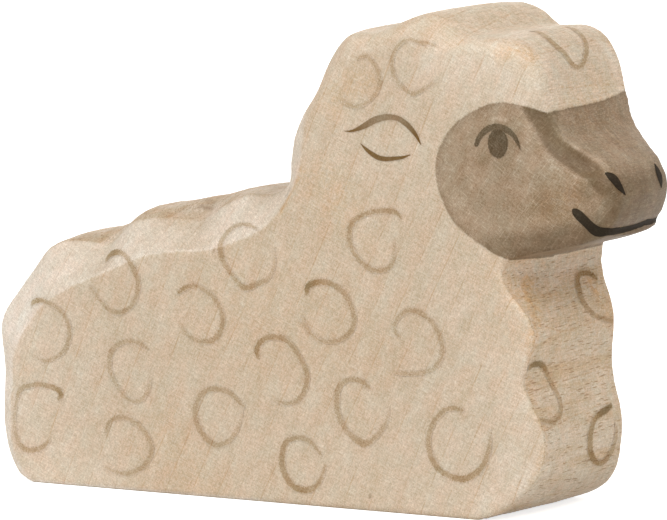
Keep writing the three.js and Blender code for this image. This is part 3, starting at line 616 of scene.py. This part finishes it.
def maple_group():
    """Colour and height of the bare maple at a point, with its painted light and shade, shared by the wood
    and by the coats on it.
    """
    tree = bpy.data.node_groups.new("maple", "ShaderNodeTree")
    tree.interface.new_socket("Colour", in_out="OUTPUT", socket_type="NodeSocketColor")
    tree.interface.new_socket("Height", in_out="OUTPUT", socket_type="NodeSocketFloat")
    place = place_in_mm(tree)
    fibre = leaned(place, -FIBRE_LEAN)
    up = axes(place)["Z"]
    normal = axes(node("NewGeometry", tree=tree).outputs["Normal"])
    off_flank = ramp(calc("ABSOLUTE", normal["Y"]), 0.35, 0.8, 1, 0)
    facing_up = ramp(normal["Z"], 0.45, 0.85)

    colour = mottled(place, fibre)
    colour = streaked(colour, fibre, off_flank, up)
    colour = ringed(tree, colour, fibre)
    dash = ray_dashes(fibre)
    share = times(dash, times_plus(off_flank, 0.6, 0.25))
    share = times(share, ramp(up, *GRAIN_FADE, 1, 0.35))
    colour = darken(share, colour, FLECK)
    colour = stained_and_shaded(tree, colour, place, fibre)
    colour = worked(tree, colour, place, facing_up)
    height = times_plus(dash, -0.5, noise_at(fibre, (0.12, 0.2, 0.7), 2))

    fill(tree.nodes.new("NodeGroupOutput"), {"Colour": colour, "Height": height})
    return tree


def new_material(name):
    """A material, its tree, its shader and the outputs of the maple under it."""
    material = bpy.data.materials.new(name)
    material.use_nodes = True
    tree = material.node_tree
    maple = node("Group", tree=tree, node_tree=maple_nodes).outputs
    return material, tree, tree.nodes["Principled BSDF"], maple


def surface(shader, colour, roughness, height, depth, gloss=0.3):
    """A material's colour, roughness and bump of a depth."""
    bump = node("Bump", {"Height": height, "Distance": depth * MM, "Strength": 1}).outputs[0]
    looks = {"Base Color": colour, "Roughness": roughness, "Normal": bump, "Specular IOR Level": gloss}
    fill(shader, looks)


def cut_out(shader, covered, rim=0):
    """A sheet shows only where its paint covers it by more than a rim."""
    fill(shader, {"Alpha": ramp(covered, rim, rim + 0.02)})


def maple_material():
    material, tree, shader, maple = new_material("bare_maple")
    rough = ramp(maple["Height"], 0.2, 0.8, 0.68, 0.56)
    surface(shader, maple["Colour"], rough, maple["Height"], 0.015)
    return material


def glazed(tree, maple):
    """The maple's colour under the face glaze, and how far the glaze covers it at its rim."""
    place = place_in_mm(tree)
    ragged = swung(noise_at(place, 0.7, 4, 0.7))
    covered = ramp(times_plus(ragged, 0.55, field(tree, "glaze_depth")), -0.12, 0.16)
    cloud = noise_at(place, 3, 4, 0.6)
    grain = noise_at(place, 0.3, 3, 0.8)
    amount = times_plus(cloud, 0.8, times_plus(grain, 0.9, -0.07))
    for lean, length in GLAZE_BRUSH:
        brush = noise_at(leaned(place, math.radians(lean)), (0.12, 0.6, length), 3)
        amount = times_plus(ramp(brush, 0.56, 0.7), -0.28, amount)
    # Less glaze where it wore off, and a painted highlight along the nose's crest
    amount = times_plus(field(tree, "worn_and_highlight"), -0.45, amount)
    amount = times(amount, covered, clamp=True)
    colour = darken(amount, maple["Colour"], GLAZE)
    # Pooled glaze, with painted shade in the hollows, under the jaw and on faces turned from the flank
    pooled_and_shade = times(covered, field(tree, "pooled_and_shade"), clamp=True)
    return darken(pooled_and_shade, colour, GLAZE_POOL_AND_SHADE), covered


def glaze_material():
    material, tree, shader, maple = new_material("face_glaze")
    colour, covered = glazed(tree, maple)
    rough = ramp(covered, 0, 1, 0.62, 0.52)
    surface(shader, colour, rough, maple["Height"], 0.012)
    cut_out(shader, covered)
    return material


def stroke_material(name, paint, over_glaze, dryness, blot=None):
    """Paint from a brush: dense in its middle, broken up by the grain where it is thin."""
    material, tree, shader, maple = new_material(name)
    under = glazed(tree, maple)[0] if over_glaze else maple["Colour"]
    grain = swung(noise_at(place_in_mm(tree), 0.2, 3, 0.7))
    ragged = times_plus(grain, 0.6 * dryness, field(tree, "ink_depth"))
    soft = 0.05 + 0.08 * dryness
    covered = ramp(ragged, -soft, soft)
    thin = times_plus(grain, 1.5 * dryness, field(tree, "ink_density"))
    share = times(thin, covered, clamp=True)
    if blot:
        paint = blend(ramp(field(tree, "ink_density"), 0.75, 1.25), paint, blot)
    colour = darken(share, under, paint)
    rough = ramp(share, 0, 1, 0.6, 0.75)
    surface(shader, colour, rough, maple["Height"], 0.012, 0.15)
    cut_out(shader, covered, 0.35 if over_glaze else 0)
    return material


# The carved wood
def cad_mesh(name):
    """A CAD node's mesh as welded points and triangles."""
    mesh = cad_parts[name].data
    points, welded = np.unique(np.round(mesh_points(mesh), 3), axis=0, return_inverse=True)
    welded = welded.ravel()
    triangles = [[welded[i] for i in polygon.vertices] for polygon in mesh.polygons]
    return points, [t for t in triangles if len(set(t)) == 3]


def remeshed_block():
    """The CAD's wood as one even mesh."""
    mesh = bpy.data.meshes.new("wooden_body_cut")
    mesh.from_pydata(cad_points * MM, [], cad_triangles)
    block = add_to_scene("wooden_body_cut", mesh)
    remesh = block.modifiers.new("remesh", "REMESH")
    remesh.mode = "VOXEL"
    remesh.voxel_size = VOXEL * MM
    made = bpy.data.meshes.new_from_object(block.evaluated_get(bpy.context.evaluated_depsgraph_get()))
    bpy.data.objects.remove(block)
    return made


def with_sharp_chest(points):
    """Points with the chest's near corner filled out to a crisp edge."""
    slices = np.clip(points[:, 2], 0, CHEST_TOP).astype(int)
    near = points[:, 1] < -9
    front = np.full(CHEST_TOP + 1, -np.inf)
    np.maximum.at(front, slices[near], points[near, 0])
    found = np.isfinite(front)
    behind = np.interp(points[:, 2], np.flatnonzero(found) + 0.5, front[found]) - points[:, 0]
    corner = grown(-points[:, 1], CORNER_SIDE, 0.9) * grown(-behind, -1.8, 1.2) * (behind > -1)
    corner *= grown(-points[:, 2], -CHEST_TOP, 2) * grown(points[:, 2], 0, 2)
    return points + CORNER_FILL * corner[:, None] * [1, 0, 0]


def marked_by_tools(points, normals):
    """Points moved in and out a little, least on the flat flanks."""
    coarse, fine = (
        np.array([noise.noise(Vector(p / spread)) for p in points])
        for spread in (TOOL_MARK_SPREAD, TOOL_MARK_SPREAD / 3)
    )
    depth = TOOL_MARK * (coarse + 0.4 * fine) * (1.2 - np.abs(normals[:, 1]))
    return points + normals * depth[:, None]


def carved_mesh():
    """The sawn and pared block, its edges rubbed round, with shallow tool marks."""
    made = remeshed_block()
    edges = read_rows(made.edges, "vertices", 2, np.int32)
    points = relaxed(mesh_points(made), edges, EDGE_SMOOTHING)
    near_front = grown(-points[:, 1], 3, 8) * grown(points[:, 0], 26, 6)
    heights, forward = np.array(FRONT_EDGE).T
    points[:, 0] += np.interp(points[:, 2], heights, forward) * near_front
    rubbed = relaxed(points, edges, round(RUBBED_AREA / VOXEL**2))
    near_head = grown(points[:, 2], RUBBED_LEVEL, 3) * grown(points[:, 0], 0, 8) * grown(-points[:, 1], -4, 8)
    points = points + near_head[:, None] * (rubbed - points)
    set_points(made, with_sharp_chest(points))
    points = marked_by_tools(mesh_points(made), read_rows(made.vertex_normals, "vector", 3).astype(float))
    points[points[:, 2] < VOXEL / 4, 2] = 0
    set_points(made, points)
    return made


def distance_to_line(points, line):
    """The distance from each point to a line of straight steps."""
    found = np.full(len(points), np.inf)
    for a, b in zip(line[:-1], line[1:]):
        step = b - a
        share = np.clip(((points - a) @ step) / (step @ step), 0, 1)
        found = np.minimum(found, np.linalg.norm(points - a - share[:, None] * step, axis=1))
    return found


def inside_outline(points, outline):
    """Whether each flat point lies inside a closed outline."""
    inside = np.zeros(len(points), bool)
    for a, b in zip(outline, np.roll(outline, -1, axis=0)):
        spans = (a[1] > points[:, 1]) != (b[1] > points[:, 1])
        with np.errstate(divide="ignore", invalid="ignore"):
            crossing = a[0] + (points[:, 1] - a[1]) / (b[1] - a[1]) * (b[0] - a[0])
        inside ^= spans & (points[:, 0] < crossing)
    return inside


def spread_of(points, lines):
    """The sum at each point of what spreads softly from some lines."""
    found = [share * np.exp(-((distance_to_line(points, line) / reach) ** 2)) for line, reach, share in lines]
    return sum(found)


def banded(points, lines):
    """The most at each point of what fills bands round some lines."""
    bands = [
        share * np.clip((reach - distance_to_line(points, line)) / soft + 0.5, 0, 1)
        for line, reach, share, soft in lines
    ]
    return np.max(bands, axis=0)


def glaze_depth_at(points):
    """How far each point lies inside the glaze's rim, and below 0 how far outside it."""
    left_brow = grown(points[:, 1], 0, HALF_BOARD) ** 2 * grown(points[:, 0], 33, 3) * (points[:, 2] > 45)
    flat = np.stack([points[:, 0], points[:, 2] - GLAZE_RISE * left_brow], axis=1)
    rim = curve_through(GLAZE_RIM, RIM_STEP)
    outline = np.vstack([rim, GLAZE_FRONT])
    bridge = np.vstack([GLAZE_FRONT[1:], rim[:1]])
    away = np.minimum(distance_to_line(flat, rim), distance_to_line(flat, bridge))
    return np.where(inside_outline(flat, outline), away, -away)


def pared_at(points, depth):
    """1 on the bare pared faces behind the neck, and half as much on the left."""
    facing = np.array([cad_wood.find_nearest(Vector(p) * MM)[1] for p in points])
    flank = np.abs(facing[:, 1])
    neck = neck_line[np.argsort(neck_line[:, 2])]
    behind = np.interp(points[:, 2], neck[:, 2], neck[:, 0]) - points[:, 0]
    side = np.where(points[:, 1] > 0, 0.5, 1)
    return ((flank > 0.35) & (flank < 0.985) & (depth < 0)) * grown(behind, -0.25, 0.5) * side


def pooled_and_shade_at(points, sided, outwards, depth):
    """Where the glaze is thick, and painted shade on faces turned from the flank or facing down."""
    # Painted shade on the faces turned away from the flank
    edges = 0.25 * np.clip(2.2 - 3 * np.abs(outwards[:, 1]), 0, 1)
    # Painted shade under the jaw and the muzzle, where the faces look down
    painted_shade_below = 0.42 * grown(-outwards[:, 2], 0, 0.7)
    nose = 0.7 * grown(points[:, 0], 40, 3) * grown(-points[:, 2], -46.5, 3)
    rim = 0.3 * np.exp(-((depth / 0.6) ** 2))
    return np.clip(banded(sided, pooled_and_shade_lines) + nose + rim + edges + painted_shade_below, 0, 1)


def set_wood_fields(mesh):
    """What the materials need to know at each point: tool cuts, stains, painted light and shade, and where
    the glaze is.
    """
    points = mesh_points(mesh)
    depth = glaze_depth_at(points)
    set_field(mesh, "glaze_depth", np.clip(depth, -DEPTH_KEPT, DEPTH_KEPT))
    set_field(mesh, "pared", pared_at(points, depth))

    # What lies on the right is repeated on the left
    sided = points * np.where(points[:, 1:2] > 0, [1, -1, 1], [1, 1, 1])
    outwards = on_wood(points)[1]
    on_flank = np.clip(2 * np.abs(outwards[:, 1]) - 0.3, 0, 1)
    # Lighter places on the flank, and painted light on the faces to the front
    pale_and_painted_light = spread_of(sided, pale_lines) * on_flank + spread_of(sided, painted_light_front_lines) * (1 - on_flank)
    set_field(mesh, "pale_and_painted_light", pale_and_painted_light)
    set_field(mesh, "stained_and_shaded", np.clip(spread_of(sided, stained_and_shade_lines), 0, 1))
    set_field(mesh, "marked_and_shaded", np.clip(spread_of(points, marked_and_shade_lines), 0, 1))
    set_field(mesh, "pooled_and_shade", pooled_and_shade_at(points, sided, outwards, depth))
    set_field(mesh, "worn_and_highlight", spread_of(sided, worn_and_highlight_lines))


# Lines and brush strokes
def catmull_rom(a, b, c, d, t):
    return 0.5 * (2 * b + (c - a) * t + (2 * a - 5 * b + 4 * c - d) * t**2 + (3 * b - a - 3 * c + d) * t**3)


def lengths_along(path):
    steps = np.linalg.norm(np.diff(path, axis=0), axis=1)
    return np.concatenate([[0], np.cumsum(steps)])


def curve_through(points, step, places=2):
    """A smooth line through points, at even steps. Numbers past its places are carried along."""
    points = np.asarray(points, float)
    ends = np.vstack([2 * points[0] - points[1], points, 2 * points[-1] - points[-2]])
    shares = np.linspace(0, 1, CURVE_STEPS, endpoint=False)[:, None]
    fine = np.vstack([catmull_rom(*ends[i : i + 4], shares) for i in range(len(points) - 1)] + [points[-1:]])
    along = lengths_along(fine[:, :places])
    wanted = np.linspace(0, along[-1], max(4, int(round(along[-1] / step)) + 1))
    return np.stack([np.interp(wanted, along, column) for column in fine.T], axis=1)


def smoothed(values, reach):
    """Values along a path, averaged over some steps each way, with both ends kept."""
    weights = np.hanning(2 * reach + 3)[1:-1]
    weights /= weights.sum()
    start = 2 * values[0] - values[reach:0:-1]
    end = 2 * values[-1] - values[-2 : -reach - 2 : -1]
    padded = np.concatenate([start, values, end])
    return np.stack([np.convolve(column, weights, "valid") for column in padded.T], axis=1)


def seen_on_wood(x, y):
    """The point of the carved wood that the photograph shows at a pixel."""
    ray = SIGHT_RIGHT * (x - IMAGE_WIDTH / 2) - SIGHT_UP * (y - IMAGE_HEIGHT / 2) - SIGHT_BACK * FOCAL_LENGTH
    spot = carved_tree.ray_cast(CAMERA_SPOT, ray.normalized())[0]
    if spot is None:
        level = CAMERA_SPOT + ray * (CAMERA_DISTANCE * MM / FOCAL_LENGTH)
        spot = carved_tree.find_nearest(level)[0]
    return np.array(spot) / MM


def seen_line(pixels):
    """A line of pixels on the carved wood."""
    return np.array([seen_on_wood(x, y) for x, y in curve_through(pixels, LINE_STEP)])


def seen_lines(rows):
    """The rows of a table of lines, with their lines on the carved wood."""
    return [(seen_line(pixels), *rest) for pixels, *rest in rows]


def on_wood(points):
    """The nearest points of the carved wood and its outward directions there."""
    found = [carved_tree.find_nearest(Vector(p) * MM) for p in points]
    return np.array([f[0] for f in found]) / MM, np.array([f[1] for f in found])


def lifted(points, lift):
    spots, outwards = on_wood(points)
    return spots + outwards * lift


def sideways(line):
    """A line's directions, and the directions across it along the wood."""
    heading = np.gradient(line, axis=0)
    side = np.cross(heading, on_wood(line)[1])
    return heading, side / np.linalg.norm(side, axis=1)[:, None]


def seen_stroke(pixels):
    """A stroke's centre line on the wood, its half widths and its ink, from where it is seen."""
    path = curve_through(pixels, SEEN_STEP)
    line = smoothed(np.array([seen_on_wood(x, y) for x, y, _ in path]), LINE_SMOOTHING)
    heading, side = sideways(line)
    sight = np.array([SIGHT_RIGHT, SIGHT_UP]).T
    ahead, across = heading @ sight, side @ sight
    facing = np.abs(ahead[:, 0] * across[:, 1] - ahead[:, 1] * across[:, 0]) / np.linalg.norm(ahead, axis=1)
    half = path[:, 2] / 2 / PIXELS_PER_MM / np.maximum(facing, LEAST_FACING)
    blot = START_BLOT * np.exp(-lengths_along(path[:, :2]) / BLOT_REACH)
    ink = np.clip(path[:, 2] / FULL_WIDTH, LEAST_INK, 1) * (FULL_INK + blot)
    return line, smoothed(half[:, None], WIDTH_SMOOTHING)[:, 0], ink


def box_centre(name):
    low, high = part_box(name)
    return np.array(low + high) / 2 / MM


def left_stroke(stroke, name, turn=0, remade=False):
    """A right stroke as the same hand drew it on the left: mirrored, a little moved, turned and reshaped."""
    line, half, ink = stroke
    right, left = box_centre("right_" + name), box_centre("left_" + name)
    x, z = line[:, 0] - right[0], line[:, 2] - right[2]
    reach, angle = np.hypot(x, z), np.unwrap(np.arctan2(z, x)) + math.radians(turn)
    if remade:
        shares = np.linspace(0, 1, len(reach))
        reach = np.interp(1 - shares, shares, reach)
    x, z = left[0] + reach * np.cos(angle), left[2] + reach * np.sin(angle)
    return on_wood(np.stack([x, -line[:, 1], z], axis=1))[0], half, ink


def whole_mouth():
    """The mouth's seen stroke, carried on round the muzzle where it is out of sight."""
    line, half, _ = seen_stroke(MOUTH_SEEN)
    hidden = np.array(MOUTH_HIDDEN)
    hidden[:, 3] /= 2 * PIXELS_PER_MM
    path = np.vstack([np.column_stack([line, half])[:-MOUTH_CUT_BACK], hidden])
    path = curve_through(path, MOUTH_STEP, 3)
    return on_wood(path[:, :3])[0], path[:, 3], path[:, 3]


# Coats
def sheet_mesh(name, points, faces):
    """A thin sheet that faces away from the wood."""
    mesh = bpy.data.meshes.new(name)
    mesh.from_pydata(points * MM, [], faces)
    polygon = mesh.polygons[len(mesh.polygons) // 2]
    if polygon.normal.dot(carved_tree.find_nearest(polygon.center)[1]) < 0:
        mesh.flip_normals()
    return mesh


def coat_piece(name, mesh, coat):
    slot, material = coat
    set_wood_fields(mesh)
    piece = new_piece(name + "_paint", mesh, material)
    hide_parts(name)


def stroke_piece(name, coat, stroke, level=None, dip=0):
    """A stroke as a fine ribbon on the wood. With a level its ink is even, but for a dip halfway."""
    line, half, ink = stroke
    along = lengths_along(line)
    length = along[-1]
    before, after = half[0] + STROKE_MARGIN, half[-1] + STROKE_MARGIN
    start, end = (step / np.linalg.norm(step) for step in (line[0] - line[1], line[-1] - line[-2]))
    line = np.vstack([line[0] + start * before, line, line[-1] + end * after])
    along = np.concatenate([[-before], along, [length + after]])
    half, ink = np.pad(half, 1, mode="edge"), np.pad(ink, 1, mode="edge")
    if level:
        ink = level - dip * np.sin(math.pi * np.clip(along / length, 0, 1))
    across = (half + STROKE_MARGIN)[:, None] * np.linspace(-1, 1, STROKE_COLUMNS)[None, :]
    points = line[:, None, :] + across[:, :, None] * sideways(line)[1][:, None, :]
    beyond = np.maximum(0, np.maximum(-along, along - length))[:, None]
    inside = half[:, None] - np.hypot(across, beyond)

    count = STROKE_COLUMNS
    faces = [
        (i * count + j, i * count + j + 1, (i + 1) * count + j + 1, (i + 1) * count + j)
        for i in range(len(line) - 1)
        for j in range(count - 1)
    ]
    mesh = sheet_mesh(name, lifted(points.reshape(-1, 3), STROKE_LIFT), faces)
    set_field(mesh, "ink_depth", inside.ravel())
    set_field(mesh, "ink_density", np.repeat(ink, count))
    coat_piece(name, mesh, coat)


def pupil_piece(name, coat):
    """The pupil as a disc of rings on the cheek."""
    low, high = (np.array(corner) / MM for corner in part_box(name))
    centre, reach = (low + high) / 2 - [0, 0, PUPIL_DROP], (high - low) / 2
    wide, tall = reach[0] + STROKE_MARGIN, reach[2] + STROKE_MARGIN
    points, inside = [centre], [reach[0]]
    for ring in range(1, PUPIL_RINGS + 1):
        share = ring / PUPIL_RINGS
        for spoke in range(PUPIL_SPOKES):
            angle = math.tau * spoke / PUPIL_SPOKES
            points.append(centre + share * np.array([math.cos(angle) * wide, 0, math.sin(angle) * tall]))
            inside.append((1 - share) * wide - STROKE_MARGIN)
    sides = [(1 + spoke, 1 + (spoke + 1) % PUPIL_SPOKES) for spoke in range(PUPIL_SPOKES)]
    faces = [(0, a, b) for a, b in sides]
    for inner in range(0, (PUPIL_RINGS - 1) * PUPIL_SPOKES, PUPIL_SPOKES):
        outer = inner + PUPIL_SPOKES
        faces += [(a + inner, a + outer, b + outer, b + inner) for a, b in sides]
    mesh = sheet_mesh(name, lifted(points, PUPIL_LIFT), faces)
    set_field(mesh, "ink_depth", inside)
    set_field(mesh, "ink_density", np.full(len(points), PUPIL_INK))
    coat_piece(name, mesh, coat)


def glaze_piece(material):
    """The carved faces inside and just round the glaze's rim, lifted a little."""
    copy = carved.copy()
    shape = bmesh.new()
    shape.from_mesh(copy)
    depth = shape.verts.layers.float["glaze_depth"]
    outside = [face for face in shape.faces if all(v[depth] < -GLAZE_MARGIN for v in face.verts)]
    bmesh.ops.delete(shape, geom=outside, context="FACES")
    shape.normal_update()
    for vertex in shape.verts:
        vertex.co += vertex.normal * GLAZE_LIFT * MM
    shape.to_mesh(copy)
    shape.free()
    piece = new_piece("face_glaze_paint", copy, material)
    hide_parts("face_glaze")


# Scene
def aim(name, data, spot, back):
    """A camera or a lamp at a spot, with a direction behind it."""
    made = add_to_scene(name, data)
    made.location = spot
    made.rotation_euler = (-back).to_track_quat("-Z", "Y").to_euler()
    return made


def add_camera():
    data = bpy.data.cameras.new("camera")
    data.sensor_width = SENSOR_WIDTH
    data.lens = FOCAL_LENGTH / IMAGE_WIDTH * SENSOR_WIDTH
    data.clip_start, data.clip_end = CAMERA_CLIP
    bpy.context.scene.camera = aim("camera", data, CAMERA_SPOT, SIGHT_BACK)


def add_lamp(name, azimuth, elevation, distance, diameter, watts):
    data = bpy.data.lights.new(name, "AREA")
    data.shape = "DISK"
    data.size = diameter
    data.energy = watts
    back = look_from(azimuth, elevation)
    aim(name, data, back * distance, back)


def seen_directly(tree):
    """1 where the camera sees a surface, also mirrored or through glass, and 0 for its light."""
    path = node("LightPath", tree=tree).outputs
    seen = calc("MAXIMUM", path["Is Camera Ray"], path["Is Glossy Ray"])
    return calc("MAXIMUM", seen, path["Is Transmission Ray"])


def add_floor():
    mesh = bpy.data.meshes.new("floor")
    corners = [(x * FLOOR_REACH, y * FLOOR_REACH, 0) for x, y in ((-1, -1), (1, -1), (1, 1), (-1, 1))]
    mesh.from_pydata(corners, [], [(0, 1, 2, 3)])
    material = bpy.data.materials.new("floor")
    material.use_nodes = True
    tree = material.node_tree
    shader = tree.nodes["Principled BSDF"]
    fill(shader, {"Base Color": (*FLOOR_GREY, 1), "Roughness": 0.9, "Specular IOR Level": 0.1})
    glow = node("Emission", {"Color": (1, 1, 1, 1), "Strength": FLOOR_GLOW}, tree)
    both = node("AddShader", {0: shader.outputs[0], 1: glow.outputs[0]})
    mixed = node("MixShader", {0: seen_directly(tree), 1: shader.outputs[0], 2: both.outputs[0]})
    fill(tree.nodes["Material Output"], {"Surface": mixed.outputs[0]})
    mesh.materials.append(material)
    floor = add_to_scene("floor", mesh)


def set_world(strength):
    """White where it is seen, and a soft light of some strength on the figure."""
    world = bpy.data.worlds.new("studio")
    world.use_nodes = True
    tree = world.node_tree
    level = node("MapRange", {"Value": seen_directly(tree), "To Min": strength, "To Max": 1})
    fill(tree.nodes["Background"], {"Color": (1, 1, 1, 1), "Strength": level.outputs[0]})
    bpy.context.scene.world = world


bpy.context.scene.view_settings.view_transform = "Standard"
add_camera()
for lamp_row in LAMPS:
    add_lamp(*lamp_row)
add_floor()
set_world(WORLD_LIGHT)

# The wood, and what lies where on it
cad_points, cad_triangles = cad_mesh("wooden_body")
cad_wood = BVHTree.FromPolygons([Vector(p * MM) for p in cad_points], cad_triangles)
carved = carved_mesh()
carved_faces = [tuple(p.vertices) for p in carved.polygons]
carved_tree = BVHTree.FromPolygons([v.co for v in carved.vertices], carved_faces)
pooled_and_shade_lines, worn_and_highlight_lines = seen_lines(POOLED_AND_SHADE), seen_lines(WORN_AND_HIGHLIGHT)
pale_lines, painted_light_front_lines = seen_lines(PALE), seen_lines(PAINTED_LIGHT_FRONT)
stained_and_shade_lines, marked_and_shade_lines = seen_lines(STAINED_AND_SHADE), seen_lines(MARKED_AND_SHADE)
neck_line = seen_line(NECK_EDGE)
set_wood_fields(carved)

# Each coat's slot and material
maple_nodes = maple_group()
curl_coat = "curl_brown", stroke_material("curl_brown", CURL_BROWN, False, 0.95, CURL_BLOT)
ear_coat = "ear_brown", stroke_material("ear_brown", EAR_BROWN, False, 0.12)
eye_coat = "dark", stroke_material("eye_dark", DARK, True, 0.5)
mouth_coat = "dark", stroke_material("mouth_dark", BLACK, True, 0.08)

body = new_piece("wooden_body_carved", carved, maple_material())
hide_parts("wooden_body")
glaze_piece(glaze_material())

for number, pixels in enumerate(RIGHT_CURLS):
    curl = f"curl_{number + 1:02d}"
    line, half, ink = seen_stroke(pixels)
    stroke = line, half, ink * (FAINT_INK if number + 1 in FAINT_CURLS else 1)
    turn = HAND_TURN * math.sin(HAND_STEP * number + HAND_START)
    stroke_piece("right_" + curl, curl_coat, stroke)
    stroke_piece("left_" + curl, curl_coat, left_stroke(stroke, curl, turn, remade=True))
for name, pixels in FRONT_CURLS.items():
    line, half, ink = seen_stroke(pixels)
    stroke_piece(name, curl_coat, (line, half, ink * CHEST_INK))

# Each row ends with the stroke's level of ink and its dip halfway
for part, coat, pixels, level, dip in (
    ("ear_upper", ear_coat, EAR_UPPER, 1.05, 0.38),
    ("ear_lower", ear_coat, EAR_LOWER, 0.94, 0.04),
    ("eyelid", eye_coat, EYELID, 0.92, 0.12),
):
    stroke = seen_stroke(pixels)
    stroke_piece("right_" + part, coat, stroke, level, dip)
    stroke_piece("left_" + part, coat, left_stroke(stroke, part), level, dip)
pupil_piece("right_pupil", eye_coat)
pupil_piece("left_pupil", eye_coat)
stroke_piece("right_nostril", mouth_coat, seen_stroke(RIGHT_NOSTRIL), 1)
stroke_piece("left_nostril", mouth_coat, seen_stroke(LEFT_NOSTRIL), 1)
stroke_piece("mouth_line", mouth_coat, whole_mouth(), 1)
